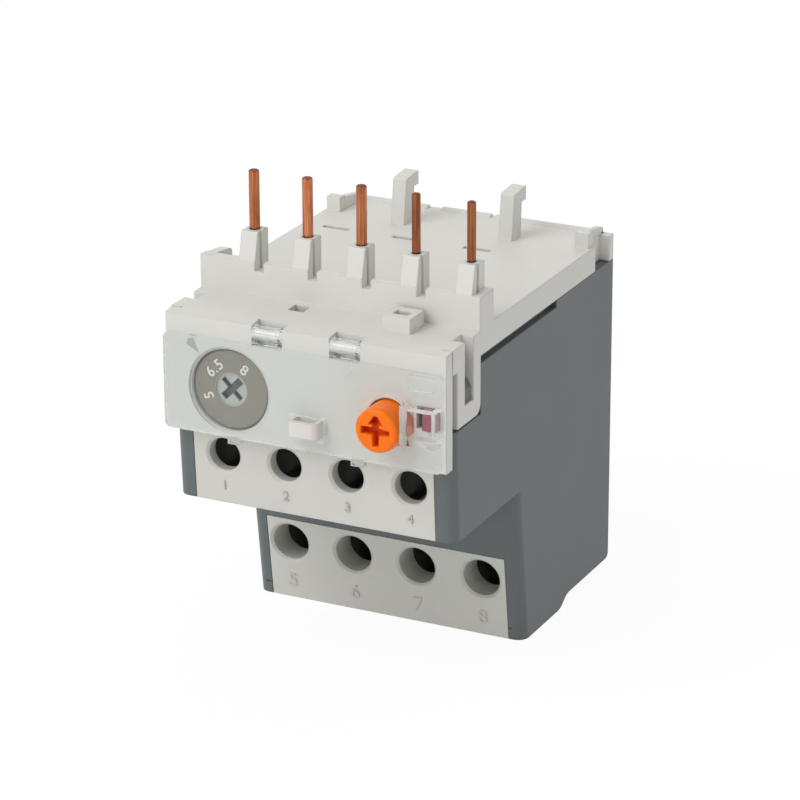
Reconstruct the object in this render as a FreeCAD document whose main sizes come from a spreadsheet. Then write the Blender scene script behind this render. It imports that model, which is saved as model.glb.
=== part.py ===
"""Plug-in thermal overload relay with three poles, built as separate pieces.

Frame: origin under the middle of the relay at the level of its foot, +X to the right
as seen from the front, +Y to the back, +Z up. All lengths are in millimetres.
"""
import FreeCAD, Part
import math
import os

import Sketcher
from FreeCAD import Placement, Rotation, Vector

doc = FreeCAD.newDocument("thermal_overload_relay")
sheet = doc.addObject("Spreadsheet::Sheet", "sizes")

SIZES = {
    # housing
    "body_width": 45.0,
    "housing_depth": 56.9,
    "housing_top": 50.9,
    "upper_floor": 25.1,
    "upper_chin": 36.8,
    "upper_lean": 0.7,
    "overhang": 21.6,
    "lower_lean": 3.4,
    "foot_length": 13.4,
    "foot_step": 1.6,
    "foot_ramp": 2.6,
    "foot_round": 3.0,
    "small_round": 1.0,
    "wall": 1.8,
    "barrier": 1.2,
    "front_wall": 3.4,
    "front_wall_depth": 9.9,
    "seam": 0.1,
    "corner_round": 1.8,
    "screw_room": 4.8,
    "shank_room": 5.0,
    "contact_room": 2.0,
    "gap_depth": 1.1,
    "gap_length": 26.6,
    # top cover
    "panel_thickness": 2.0,
    "cover_skin": 1.9,
    "ledge_top": 54.7,
    "deck_top": 55.0,
    "ledge_depth": 10.85,
    "riser_top": 59.8,
    "riser_wall": 1.6,
    "riser_return": 4.5,
    "skirt_bottom": 51.0,
    "skirt_wall": 1.6,
    "rear_gap": 6.9,
    "collar_top": 64.0,
    "collar_width": 2.7,
    "collar_depth": 4.1,
    "collar_lean": 1.0,
    "hook_top": 62.1,
    "hook_width": 2.3,
    "hook_spacing": 18.1,
    "latch_bottom": 42.4,
    "latch_bar": 2.8,
    "lug_height": 4.6,
    "panel_slope": 2.8,
    "rear_post": 2.3,
    "latch_width": 7.7,
    "latch_gap": 1.4,
    "latch_window": 2.9,
    "notch_bottom": 58.4,
    "notch_width": 1.4,
    "hook_setback": 10.5,
    "hook_depth": 3.3,
    "hook_lean": 1.2,
    "hook_neck": 2.6,
    "hook_nose": 1.8,
    "hook_reach": 1.5,
    "ledge_hole": 2.5,
    "ledge_hole_place": -5.15,
    "ledge_hole_setback": 8.7,
    "ledge_block": 4.6,
    "block_inset": 10.7,
    "block_height": 2.2,
    "block_setback": 7.85,
    "slot_length": 4.4,
    "slot_width": 1.0,
    "slot_pitch": 11.85,
    "slot_middle": -4.9,
    "slot_setback": 31.8,
    # contact pins
    "pin_margin_left": 7.64,
    "pin_margin_right": 2.64,
    "pin_chamfer": 0.15,
    "lead_step": 0.2,
    "pin_setback": 13.57,
    "pin_top": 72.9,
    "power_pin_radius": 0.78,
    "control_pin_radius": 0.64,
    "wire_bend": 2.0,
    "wire_level": 50.0,
    # main terminals
    "main_margin_left": 0.84,
    "main_margin_right": 1.28,
    "main_level": 9.6,
    "main_plate_top": 13.65,
    "main_plate_edge": 2.55,
    "main_hole_radius": 3.0,
    "main_tube_depth": 5.2,
    "main_rail_setback": 12.3,
    "main_clamp_side": 7.4,
    "main_shank_radius": 1.7,
    "main_head_radius": 2.8,
    # auxiliary terminals
    "aux_margin_left": 2.9,
    "aux_margin_right": 1.94,
    "aux_level": 32.7,
    "aux_plate_edge": 3.1,
    "aux_hole_radius": 2.55,
    "aux_tube_depth": 2.2,
    "aux_rail_setback": 14.1,
    "main_shank_length": 7.0,
    "aux_shank_length": 4.4,
    "aux_clamp_side": 6.0,
    "aux_shank_radius": 1.45,
    "aux_head_radius": 2.4,
    # terminal parts
    "plate_thickness": 1.5,
    "tube_wall": 1.1,
    "hole_lip": 0.4,
    "rail_thickness": 1.2,
    "rail_width": 5.6,
    "clamp_thickness": 1.2,
    "thread_play": 0.08,
    "wire_slot": 4.9,
    # bimetals
    "bimetal_foot": 19.0,
    "bimetal_top": 45.5,
    "bimetal_thickness": 0.8,
    "bimetal_width": 5.0,
    "sleeve_wall": 0.3,
    "heater_thickness": 0.5,
    "heater_ribbon": 1.3,
    "heater_pitch": 2.2,
    "heater_turns": 6,
    "heater_start": 5.5,
    "lead_setback": 4.9,
    "lead_level": 38.5,
    "coil_gap": 4.4,
    "control_inset": 7.1,
    "neck_top": 22.0,
    "rail_foot": 2.6,
    # trip mechanism
    "trip_travel": 2.0,
    "trip_bar_level": 43.3,
    "trip_bar_thickness": 1.2,
    "frame_level": 37.6,
    "frame_setback": 1.6,
    "frame_thickness": 1.0,
    "lever_inset": 7.3,
    "lever_setback": 18.1,
    "push_arm": 6.6,
    "lever_width": 1.4,
    "trip_gap": 0.9,
    "contact_run": 3.5,
    "contact_thickness": 1.2,
    "bridge_thickness": 0.5,
    "bridge_level": 29.8,
    "bridge_depth": 2.4,
    "carrier_level": 33.5,
    "carrier_depth": 2.5,
    "horn_run": 5.8,
    "lever_top": 45.0,
    "lever_reach": 7.4,
    "arm_width": 1.0,
    "bar_margin": 2.3,
    "slide_width": 3.6,
    "slide_pad": 1.6,
    "pivot_radius": 0.8,
    "spring_setback": 3.3,
    "spring_leaf": 0.25,
    "post_run": 2.8,
    # dial, button, test slider
    "dial_inset": 10.4,
    "dial_level": 43.9,
    "dial_radius": 6.15,
    "dial_depth": 0.7,
    "hub_radius": 2.55,
    "cam_radius": 3.4,
    "cam_rise": 0.5,
    "button_inset": 9.1,
    "button_level": 43.3,
    "button_radius": 3.35,
    "button_reach": 4.3,
    "button_travel": 2.5,
    "plunger_radius": 1.25,
    "dial_flange": 0.8,
    "shaft_radius": 2.0,
    "bearing_setback": 5.0,
    "bearing_half": 4.0,
    "cam_run": 1.2,
    "cam_width": 2.5,
    "guide_setback": 10.2,
    "plunger_flange": 3.0,
    "socket_depth": 3.0,
    "knob_bevel": 0.5,
    "spring_radius": 2.2,
    "spring_wire": 0.2,
    "spring_turns": 5,
    "driver_slot": 0.8,
    "dial_slot": 1.1,
    "head_height": 2.1,
    "slider_inset": 2.5,
    "slider_width": 1.7,
    "slider_height": 2.6,
    "slider_lip": 0.8,
    "slider_pocket": 1.0,
    "slider_reach": 0.9,
    "slider_leg": 2.5,
    "eyelet_place": 0.8,
    "eyelet_level": 40.7,
    "eyelet_half": 2.5,
    "eyelet_height": 2.4,
    "eyelet_reach": 2.7,
    "eyelet_wall": 0.8,
    "eyelet_round": 1.2,
    "slider_level": 44.6,
    "slider_travel": 1.2,
    "slider_leg_wall": 0.6,
    # clear cover
    "clear_thickness": 0.9,
    "clear_gap": 0.23,
    "clear_edge": 0.2,
    "clear_bottom": 37.1,
    "clear_top": 51.8,
    "hinge_level": 53.0,
    "hinge_setback": 0.7,
    "hinge_bar": 0.75,
    "clip_wall": 0.65,
    "clip_spacing": 12.4,
    "clip_middle": 0.3,
    "clip_width": 4.2,
    "button_window": 4.2,
    "swing_room": 0.8,
    "test_box_depth": 2.4,
    "test_box_half": 2.9,
    "tab_spacing": 19.85,
    "tab_middle": -1.05,
    "tab_width": 2.0,
    "tab_drop": 1.0,
    "rib_place": 8.4,
    "rib_width": 0.6,
    "rib_length": 3.2,
    "rib_rise": 0.4,
    "pad_inset": 5.4,
    "pad_height": 2.6,
    # clearances
    "play": 0.3,
    "slip": 0.1,
    "turning": 0.05,
}


class Size(float):
    """A number that remembers the sheet formula it was worked out from."""

    def __new__(cls, value, text):
        size = float.__new__(cls, value)
        size.text = text
        return size

    def __add__(self, other):
        return Size(float(self) + float(other), f"({self.text} + {formula(other)})")

    def __sub__(self, other):
        return Size(float(self) - float(other), f"({self.text} - {formula(other)})")

    def __mul__(self, other):
        return Size(float(self) * float(other), f"({self.text} * {formula(other)})")

    def __truediv__(self, other):
        return Size(float(self) / float(other), f"({self.text} / {formula(other)})")

    def __radd__(self, other):
        return Size(float(other) + float(self), f"({formula(other)} + {self.text})")

    def __rsub__(self, other):
        return Size(float(other) - float(self), f"({formula(other)} - {self.text})")

    def __rmul__(self, other):
        return Size(float(other) * float(self), f"({formula(other)} * {self.text})")

    def __neg__(self):
        return Size(-float(self), f"(-1 * {self.text})")


def formula(number):
    """The sheet formula of a size, or a plain number as text."""
    return number.text if isinstance(number, Size) else f"{float(number):.6f}"


class Sizes:
    """The sheet's cells, one attribute for each alias."""

    def __init__(self, values):
        for row, (name, value) in enumerate(values.items(), start=1):
            sheet.set(f"A{row}", name)
            sheet.set(f"B{row}", str(value))
            sheet.setAlias(f"B{row}", name)
            setattr(self, name, Size(value, f"sizes.{name}"))


s = Sizes(SIZES)
doc.recompute()


# ---- drawing tools -----------------------------------------------------------------

def bind(item, name, size):
    """Tie a property to the sheet."""
    item.setExpression(name, formula(size))


def new_body(label):
    body = doc.addObject("PartDesign::Body", label)
    body.Label = label
    return body


def place(body, x, y, z, turn=None):
    """Stand a body at a place worked out from the sheet, turned once if asked."""
    body.Placement = Placement(Vector(), turn or Rotation())
    for axis, size in zip("xyz", (x, y, z)):
        bind(body, f"Placement.Base.{axis}", size)


PLANES = {"x": "YZ_Plane", "y": "XZ_Plane", "z": "XY_Plane"}


def sketch_on(body, axis, at):
    """A sketch square to the axis. Its own axes are the two others, in X, Y, Z order."""
    sketch = body.newObject("Sketcher::SketchObject", "profile")
    plane = next(item for item in body.Origin.OriginFeatures if item.Role == PLANES[axis])
    sketch.AttachmentSupport = [(plane, "")]
    sketch.MapMode = "FlatFace"
    bind(sketch, "AttachmentOffset.Base.z", -1 * at if axis == "y" else at)
    return sketch


def pin_down(sketch, geometry, point, x, y):
    """Give a sketch point its place from the sketch's origin."""
    for kind, size in (("DistanceX", x), ("DistanceY", y)):
        rule = Sketcher.Constraint(kind, -1, 1, geometry, point, float(size))
        bind(sketch, f"Constraints[{sketch.addConstraint(rule)}]", size)


def draw_circle(sketch, x, y, radius):
    centre = Vector(float(x), float(y), 0)
    ring = sketch.addGeometry(Part.Circle(centre, Vector(0, 0, 1), float(radius)))
    pin_down(sketch, ring, 3, x, y)
    rule = Sketcher.Constraint("Radius", ring, float(radius))
    bind(sketch, f"Constraints[{sketch.addConstraint(rule)}]", radius)


def rounded(before, corner, after, radius):
    """Tangent points, centre and turning sense of the arc that rounds a corner."""
    back = (before - corner).normalize()
    ahead = (after - corner).normalize()
    half = back.getAngle(ahead) / 2
    reach = radius / math.tan(half)
    centre = corner + (back + ahead).normalize() * (radius / math.sin(half))
    leftward = back.cross(ahead).z < 0
    return corner + back * reach, corner + ahead * reach, centre, leftward


def draw_loop(sketch, corners):
    """A closed outline through the corners; a corner's third value rounds it."""
    spots = [Vector(float(corner[0]), float(corner[1]), 0) for corner in corners]
    count = len(corners)
    arcs = {}
    for i, corner in enumerate(corners):
        if len(corner) == 3:
            arcs[i] = rounded(spots[i - 1], spots[i], spots[(i + 1) % count], float(corner[2]))
    lines = []
    for i in range(count):
        j = (i + 1) % count
        start = arcs[i][1] if i in arcs else spots[i]
        end = arcs[j][0] if j in arcs else spots[j]
        lines.append(sketch.addGeometry(Part.LineSegment(start, end)))
    for i, corner in enumerate(corners):
        if i not in arcs:
            pin_down(sketch, lines[i], 1, corner[0], corner[1])
            sketch.addConstraint(Sketcher.Constraint("Coincident", lines[i - 1], 2, lines[i], 1))
            continue
        first, last, centre, leftward = arcs[i]
        ends = [(first, 1), (last, 2)] if leftward else [(last, 1), (first, 2)]
        angles = [math.atan2(point.y - centre.y, point.x - centre.x) for point, _ in ends]
        circle = Part.Circle(centre, Vector(0, 0, 1), float(corner[2]))
        arc = sketch.addGeometry(Part.ArcOfCircle(circle, angles[0], angles[1]))
        spot = sketch.addGeometry(Part.Point(spots[i]), True)
        pin_down(sketch, spot, 1, corner[0], corner[1])
        enter, leave = (1, 2) if leftward else (2, 1)
        for rule in (
            Sketcher.Constraint("PointOnObject", spot, 1, lines[i - 1]),
            Sketcher.Constraint("PointOnObject", spot, 1, lines[i]),
            Sketcher.Constraint("Tangent", lines[i - 1], 2, arc, enter),
            Sketcher.Constraint("Tangent", lines[i], 1, arc, leave),
        ):
            sketch.addConstraint(rule)
        rule = Sketcher.Constraint("Radius", arc, float(corner[2]))
        bind(sketch, f"Constraints[{sketch.addConstraint(rule)}]", corner[2])


def box_loop(low_x, high_x, low_y, high_y, radius=None):
    """The four corners of a rectangle, rounded if a radius is given."""
    corners = [(low_x, low_y), (high_x, low_y), (high_x, high_y), (low_x, high_y)]
    return corners if radius is None else [corner + (radius,) for corner in corners]


def prism(body, kind, axis, start, end, at, loops):
    sketch = sketch_on(body, axis, at)
    for loop in loops:
        if isinstance(loop, list):
            draw_loop(sketch, loop)
        else:
            draw_circle(sketch, *loop)
    feature = body.newObject(kind, "prism")
    feature.Profile = sketch
    feature.Refine = False
    bind(feature, "Length", end - start)
    sketch.Visibility = False
    return feature


def add(body, axis, start, end, *loops):
    """Add material between two places along an axis. A loop is corners or (x, y, radius)."""
    at = end if axis == "y" else start
    return prism(body, "PartDesign::Pad", axis, start, end, at, loops)


def cut(body, axis, start, end, *loops):
    """Take material away between two places along an axis."""
    at = start if axis == "y" else end
    return prism(body, "PartDesign::Pocket", axis, start, end, at, loops)


def turned(body, corners, kind="PartDesign::Revolution"):
    """Turn a half outline of (radius, height) corners about the body's Z axis."""
    sketch = sketch_on(body, "y", 0)
    draw_loop(sketch, corners)
    feature = body.newObject(kind, "turned")
    feature.Profile = sketch
    feature.ReferenceAxis = (sketch, ["V_Axis"])
    feature.Angle = 360
    return feature


def round_edges(body, radius, test, kind="PartDesign::Fillet"):
    """Round, or chamfer, the edges that pass the test."""
    doc.recompute()
    base = body.Tip
    names = [f"Edge{i}" for i, edge in enumerate(base.Shape.Edges, start=1) if test(edge)]
    feature = body.newObject(kind, "rounding")
    feature.Base = (base, names)
    bind(feature, "Radius" if kind.endswith("Fillet") else "Size", radius)
    return feature


def spread(count, pitch, middle):
    """Places of evenly pitched items about a middle."""
    return [middle + (i - (count - 1) / 2) * pitch for i in range(count)]


def cells(count, low, high):
    """The width of equal cells side by side between two places, and their middles."""
    width = (high - low) / count
    return width, [low + (i + 0.5) * width for i in range(count)]


FACE_FRONT = Rotation(Vector(1, 0, 0), 90)


# ---- places that several pieces share ----------------------------------------------

half = s.body_width / 2
back = (s.housing_depth + s.panel_thickness + s.button_reach) / 2
upper_front = back - s.housing_depth
upper_toe = upper_front + s.upper_lean
lower_front = upper_front + s.overhang
lower_toe = lower_front + s.lower_lean
foot_end = lower_toe + s.foot_length
panel_front = upper_front - s.panel_thickness
riser_front = panel_front + s.ledge_depth
pin_row = panel_front + s.pin_setback
cavity_half = half - s.wall
front_half = half - s.front_wall
front_end = upper_front + s.front_wall_depth
deck_under = s.deck_top - s.cover_skin
ledge_under = s.ledge_top - s.cover_skin
clear_back = panel_front - s.clear_gap
clear_front = clear_back - s.clear_thickness
hinge_row = panel_front + s.hinge_setback
clip_radius = s.hinge_bar + s.turning + s.clip_wall

pin_pitch = (s.body_width - s.pin_margin_left - s.pin_margin_right) / 4
pins_x = [-half + s.pin_margin_left + i * pin_pitch for i in range(5)]
main_pitch, main_x = cells(4, -half + s.main_margin_left, half - s.main_margin_right)
aux_pitch, aux_x = cells(4, -half + s.aux_margin_left, half - s.aux_margin_right)
barriers_x = [x + main_pitch / 2 for x in main_x[:3]]
main_plate_half = half - s.main_plate_edge
aux_plate_half = half - s.aux_plate_edge
dial_x = -half + s.dial_inset
button_x = half - s.button_inset
slider_x = half - s.slider_inset
lever_x = half - s.lever_inset
main_rail = lower_toe + s.main_rail_setback
aux_rail = upper_front + s.aux_rail_setback

main_slope = s.lower_lean / s.upper_floor
aux_slope = s.upper_lean / (s.upper_chin - s.upper_floor)
main_plate_y = lower_toe - s.main_plate_top * main_slope
main_mouth = lower_toe - s.main_level * main_slope
aux_mouth = upper_front + (s.upper_chin - s.aux_level) * aux_slope
recess = s.plate_thickness + s.seam

main_chamber_top = s.main_level + s.main_hole_radius + s.tube_wall + s.play
shelf_level = main_chamber_top + s.barrier
aux_chamber_top = s.frame_level - s.barrier
aux_floor = s.upper_floor + s.wall
rail_back = main_rail + s.rail_thickness
aux_rail_back = aux_rail + s.rail_thickness
bimetal_front = rail_back + s.play
control_row = back - s.control_inset
partition_top = s.trip_bar_level - s.play
trip_bar_top = s.trip_bar_level + s.trip_bar_thickness
frame_top = s.frame_level + s.frame_thickness

latch_front = upper_front + s.latch_gap
latch_back = latch_front + s.latch_width
window_front = latch_front + (s.latch_width - s.latch_window) / 2
window_back = window_front + s.latch_window
latch_recess = half - s.skirt_wall - s.play

lever_y = panel_front + s.lever_setback
contact_front = aux_rail_back + s.contact_run
aux_top = s.aux_level + s.aux_clamp_side / 2
carrier_front = contact_front + s.slip + s.bridge_thickness
carrier_back = carrier_front + s.carrier_depth
push_x = lever_x - s.push_arm
post_x = push_x - s.post_run
horn_x = post_x - s.horn_run
coil_row = carrier_back + s.coil_gap
partition_front = coil_row + s.control_pin_radius + s.play
carrier_travel = s.trip_travel * s.push_arm / s.lever_reach

pin_radii = [s.power_pin_radius] * 3 + [s.control_pin_radius] * 2
clips_x = spread(2, s.clip_spacing, s.clip_middle)
slots_x = spread(3, s.slot_pitch, s.slot_middle)
block_x = half - s.block_inset
pin_foot = s.collar_top + s.play
hook_front = back - s.hook_setback
ledge_row = panel_front + s.ledge_hole_setback
block_row = panel_front + s.block_setback
slot_row = riser_front + s.slot_setback
slider_left = slider_x - s.slider_width / 2
slider_right = slider_x + s.slider_width / 2
leg_left = front_half - s.play - s.slider_leg_wall
bearing_front = panel_front + s.bearing_setback
guide_front = panel_front + s.guide_setback
cam_front = bearing_front + s.rail_thickness + s.cam_run
cam_back = cam_front + s.cam_width
spring_row = lever_y - s.spring_setback
plunger_end = panel_front - spring_row + s.spring_leaf + s.play + s.button_travel
lead_row = bimetal_front - s.lead_setback
heater_foot = s.bimetal_foot + s.heater_start
coil_level = aux_floor + s.slip * 3 + s.contact_thickness + s.control_pin_radius
control_tab_top = main_chamber_top - s.play


# ---- mouldings -----------------------------------------------------------------------

def make_housing():
    """The dark shell: one moulding that holds everything and closes three sides."""
    body = new_body("main_housing")
    ramp_end = foot_end + s.foot_ramp
    add(body, "x", -half, half, [
        (back, s.foot_step, s.small_round), (back, s.housing_top),
        (upper_front, s.housing_top), (upper_front, s.upper_chin),
        (upper_toe, s.upper_floor), (lower_front, s.upper_floor), (lower_toe, 0),
        (foot_end, 0, s.foot_round), (ramp_end, s.foot_step, s.foot_round)])

    def front_corner(edge):
        ends = [vertex.Point for vertex in edge.Vertexes]
        return (all(abs(abs(point.x) - half) < 0.01 for point in ends)
                and max(point.y for point in ends) < lower_toe + 0.01
                and max(point.z for point in ends) < s.upper_chin + 0.01
                and abs(ends[0].z - ends[-1].z) > 5)

    round_edges(body, s.corner_round, front_corner)

    cut(body, "z", s.frame_level, s.housing_top,
        box_loop(-front_half, front_half, upper_front, front_end + s.wall))
    flange_room = s.play * 2
    cut(body, "y", upper_front, upper_front + s.dial_flange + flange_room,
        (dial_x, s.dial_level, s.dial_radius + flange_room))
    inner_front = lower_front + s.wall
    shelf_back = rail_back + s.screw_room
    rear_floor = s.foot_step + s.wall
    cut(body, "x", -cavity_half, cavity_half, [
        (front_end, s.housing_top), (front_end, s.frame_level),
        (contact_front - s.contact_room, s.frame_level),
        (contact_front - s.contact_room, aux_floor), (inner_front, aux_floor),
        (main_plate_y + s.wall, shelf_level), (shelf_back, shelf_level),
        (shelf_back, rear_floor), (back - s.wall, rear_floor),
        (back - s.wall, s.housing_top)])

    reach = main_plate_y - s.wall
    cut(body, "x", -main_plate_half - s.seam, main_plate_half + s.seam, [
        (lower_toe + recess, 0), (main_plate_y + recess, s.main_plate_top + s.seam),
        (reach, s.main_plate_top + s.seam), (reach, 0)])
    cut(body, "x", -aux_plate_half - s.seam, aux_plate_half + s.seam, [
        (upper_toe + recess, s.upper_floor), (upper_front + recess, s.upper_chin),
        (upper_front - s.wall, s.upper_chin), (upper_front - s.wall, s.upper_floor)])

    neck = s.rail_width / 2 + s.play
    cell = (main_pitch - s.barrier) / 2

    def main_row(reach, low, high):
        return [box_loop(x - reach, x + reach, low, high) for x in main_x]

    cut(body, "z", s.wall, main_chamber_top,
        *main_row(cell, main_plate_y + recess, rail_back + s.slip))
    cut(body, "y", rail_back - s.slip, shelf_back + s.slip,
        *main_row(neck, s.shank_room, main_chamber_top))
    cut(body, "z", main_chamber_top - s.slip, shelf_level + s.slip,
        *main_row(neck, main_rail - s.play, rail_back + s.play))
    cut(body, "z", 0, s.wall + s.slip,
        *main_row(neck, main_rail - s.wire_slot, main_rail))
    cell = (aux_pitch - s.barrier) / 2

    def aux_row(reach, low, high):
        return [box_loop(x - reach, x + reach, low, high) for x in aux_x]

    cut(body, "z", aux_floor, aux_chamber_top,
        *aux_row(cell, upper_front + recess, aux_rail_back + s.slip))
    cut(body, "y", aux_rail_back, contact_front - s.contact_room + s.slip,
        *aux_row(neck, aux_floor, s.aux_level + s.aux_clamp_side / 2))
    cut(body, "z", s.upper_floor, aux_floor + s.slip,
        *aux_row(neck, aux_rail - s.wire_slot, aux_rail))

    lug_top = s.latch_bottom + s.latch_bar + s.lug_height
    lug_low = s.latch_bottom + s.latch_bar + s.play
    for side in (-1, 1):
        low, high = (-half, -latch_recess) if side < 0 else (latch_recess, half)
        cut(body, "x", low, high, box_loop(
            upper_front, latch_back + s.slip, s.latch_bottom - s.play, s.housing_top))
        add(body, "y", window_front + s.play, window_back - s.play, [
            (side * (latch_recess - s.slip), lug_low), (side * (half - s.play), lug_low),
            (side * (half - s.play), lug_low + s.wall),
            (side * (latch_recess - s.slip), lug_top)])
        low, high = (-half, -half + s.gap_depth) if side < 0 else (half - s.gap_depth, half)
        cut(body, "x", low, high, box_loop(
            latch_back, latch_back + s.gap_length, s.housing_top - s.gap_depth, s.housing_top))
    for x in barriers_x:
        add(body, "x", x - s.barrier / 2, x + s.barrier / 2, box_loop(
            partition_front, back - s.wall + s.slip, shelf_level - s.slip, partition_top))
    return body


def make_top_cover():
    """The pale cover: front panel, ledge, riser with pin collars, deck, hooks, latches."""
    body = new_body("top_cover")
    side = half - s.seam
    riser_back = riser_front + s.riser_wall
    add(body, "x", -side, side, [
        (panel_front, s.upper_chin), (upper_front, s.upper_chin), (upper_front, ledge_under),
        (riser_back, ledge_under), (riser_back, s.ledge_top),
        (panel_front + s.panel_slope, s.ledge_top), (panel_front, s.ledge_top - s.play)])
    add(body, "z", deck_under, s.deck_top, box_loop(-half, half, riser_front, back))
    add(body, "z", ledge_under, s.riser_top, box_loop(-half, half, riser_front, riser_back))
    add(body, "z", s.skirt_bottom, deck_under + s.slip,
        box_loop(-half, half, back - s.skirt_wall, back))
    post = s.riser_wall
    add(body, "z", s.deck_top - s.slip, s.riser_top,
        box_loop(half - post, half, riser_front, riser_front + s.riser_return))
    left_end = riser_front + s.riser_return * 1.5
    add(body, "x", -half, -half + post, [
        (riser_front, s.deck_top - s.slip), (left_end, s.deck_top - s.slip),
        (left_end, s.riser_top - post / 2, post / 2), (riser_front, s.riser_top + s.slip)])

    rib_half = s.clip_spacing / 2 + s.clip_width
    add(body, "x", s.clip_middle - rib_half, s.clip_middle + rib_half, box_loop(
        upper_front - s.slip, hinge_row + clip_radius + s.riser_wall,
        s.hinge_level - clip_radius - s.slip * 2, ledge_under + s.slip))
    for end in (-1, 1):
        low, high = (-half, -half + s.skirt_wall) if end < 0 else (half - s.skirt_wall, half)
        skirt = back - s.rear_gap
        add(body, "x", low, high,
            box_loop(latch_back, skirt, s.skirt_bottom, deck_under + s.slip))
        inner, outer = half - s.skirt_wall * 2, half - s.skirt_wall
        low, high = (-outer, -inner) if end < 0 else (inner, outer)
        add(body, "x", low, high,
            box_loop(skirt - s.slip, back - s.slip, s.skirt_bottom, deck_under + s.slip))
        low, high = (-half, -outer) if end < 0 else (outer, half)
        cut(body, "x", low, high, box_loop(
            skirt, back - s.skirt_wall, s.skirt_bottom, s.deck_top))
        low, high = (-half, -half + s.skirt_wall) if end < 0 else (half - s.skirt_wall, half)
        add(body, "x", low, high, [
            (latch_front, s.latch_bottom), (latch_back, s.latch_bottom, s.skirt_wall),
            (latch_back, s.ledge_top), (latch_front, s.ledge_top)])
        add(body, "x", low, high, box_loop(
            upper_front - s.slip, latch_front + s.slip, s.skirt_bottom, s.ledge_top))
        low, high = (-half, -latch_recess) if end < 0 else (latch_recess, half)
        cut(body, "x", low, high, box_loop(
            window_front, window_back, s.latch_bottom + s.latch_bar, s.ledge_top))
        add(body, "z", s.deck_top - s.slip, s.deck_top + s.rear_post, box_loop(
            end * (half - s.riser_wall) - s.hook_width / 2,
            end * (half - s.riser_wall) + s.hook_width / 2,
            skirt - s.riser_wall, skirt - s.slip))
    cover_collars(body, riser_back)
    cover_hooks(body)
    cover_openings(body)
    return body


def cover_collars(body, riser_back):
    """Five leaning collars round the contact pins, with a slit beside each."""
    foot = riser_front + s.slip
    for x in pins_x:
        add(body, "x", x - s.collar_width / 2, x + s.collar_width / 2, [
            (foot, deck_under + s.slip), (foot + s.collar_depth, deck_under + s.slip),
            (foot + s.collar_depth, s.collar_top, s.play),
            (foot + s.collar_lean, s.collar_top, s.play), (foot, s.riser_top - s.slip)])
    slit = riser_front + s.riser_wall
    edge = s.collar_width / 2
    cut(body, "z", s.notch_bottom, s.collar_top, *[
        box_loop(x + edge - s.play, x + edge + s.slip, slit, slit + s.play * 2) for x in pins_x])
    cut(body, "z", s.notch_bottom, s.riser_top, *[
        box_loop(x + edge, x + edge + s.notch_width, riser_front, riser_back)
        for x in pins_x[:-1]])
    cut(body, "z", deck_under, s.collar_top,
        *[(x, pin_row, pin_radius + s.turning) for x, pin_radius in zip(pins_x, pin_radii)])


def cover_hooks(body):
    """Two hooks that reach up behind the contactor, leaning back a little."""
    tip = s.hook_top
    nose = tip - s.hook_nose
    lean = s.hook_lean
    foot = hook_front + s.hook_depth
    for x in spread(2, s.hook_spacing, 0):
        add(body, "x", x - s.hook_width / 2, x + s.hook_width / 2, [
            (hook_front, deck_under + s.slip), (foot, deck_under + s.slip),
            (hook_front + lean + s.hook_neck, nose),
            (hook_front + lean + s.hook_neck + s.hook_reach, nose),
            (hook_front + lean + s.hook_neck + s.hook_reach, tip + s.play),
            (hook_front + lean, tip, s.play)])


def cover_openings(body):
    """Dial, button and slider openings, the seal eyelet, hinge bars and small holes."""
    dial = dial_x, s.dial_level
    cut(body, "y", panel_front, upper_front, (*dial, s.dial_radius + s.slip),
        (button_x, s.button_level, s.button_radius + s.play - s.slip))
    cut(body, "y", panel_front, panel_front + s.play, (*dial, s.dial_radius + s.play + s.slip))

    slot = s.slider_height / 2 + s.slip
    cut(body, "y", panel_front, upper_front, box_loop(
        slider_left - s.slider_travel - s.slip, slider_right + s.slip,
        s.slider_level - slot, s.slider_level + slot))
    pocket = slot + s.slider_lip
    cut(body, "y", upper_front - s.slider_pocket, upper_front, box_loop(
        leg_left - s.slider_travel - s.play, slider_right + s.slip * 2,
        s.slider_level - pocket, s.slider_level + pocket))

    eyelet_low = s.eyelet_level - s.eyelet_height / 2
    eyelet_high = s.eyelet_level + s.eyelet_height / 2
    loop_front = panel_front - s.eyelet_reach
    add(body, "z", eyelet_low, eyelet_high, [
        (s.eyelet_place - s.eyelet_half, panel_front + s.slip),
        (s.eyelet_place - s.eyelet_half, loop_front, s.eyelet_round),
        (s.eyelet_place + s.eyelet_half, loop_front, s.eyelet_round),
        (s.eyelet_place + s.eyelet_half, panel_front + s.slip)])
    inner = s.eyelet_half - s.eyelet_wall
    cut(body, "z", eyelet_low, eyelet_high, box_loop(
        s.eyelet_place - inner, s.eyelet_place + inner,
        loop_front + s.eyelet_wall, panel_front, s.play))

    reach = s.clip_width / 2 + s.play
    swing = clip_radius + s.slip * 2
    cut(body, "z", s.hinge_level - swing, s.ledge_top, *[
        box_loop(x - reach, x + reach, panel_front, hinge_row + swing) for x in clips_x])
    for x in clips_x:
        add(body, "x", x - reach - s.slip, x + reach + s.slip,
            (hinge_row, s.hinge_level, s.hinge_bar))

    square = s.ledge_hole / 2
    cut(body, "z", ledge_under, s.ledge_top, box_loop(
        s.ledge_hole_place - square, s.ledge_hole_place + square,
        ledge_row - square, ledge_row + square))
    block = s.ledge_block / 2
    add(body, "z", s.ledge_top - s.slip, s.ledge_top + s.block_height, box_loop(
        block_x - block, block_x + block, block_row - block, block_row + block))
    cut(body, "z", ledge_under, s.ledge_top + s.block_height, box_loop(
        block_x - block / 2, block_x + block / 2,
        block_row - block / 3, block_row + block / 3))
    cut(body, "z", deck_under, s.deck_top, *[
        box_loop(x - s.slot_length / 2, x + s.slot_length / 2, slot_row, slot_row + s.slot_width)
        for x in slots_x])


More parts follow.
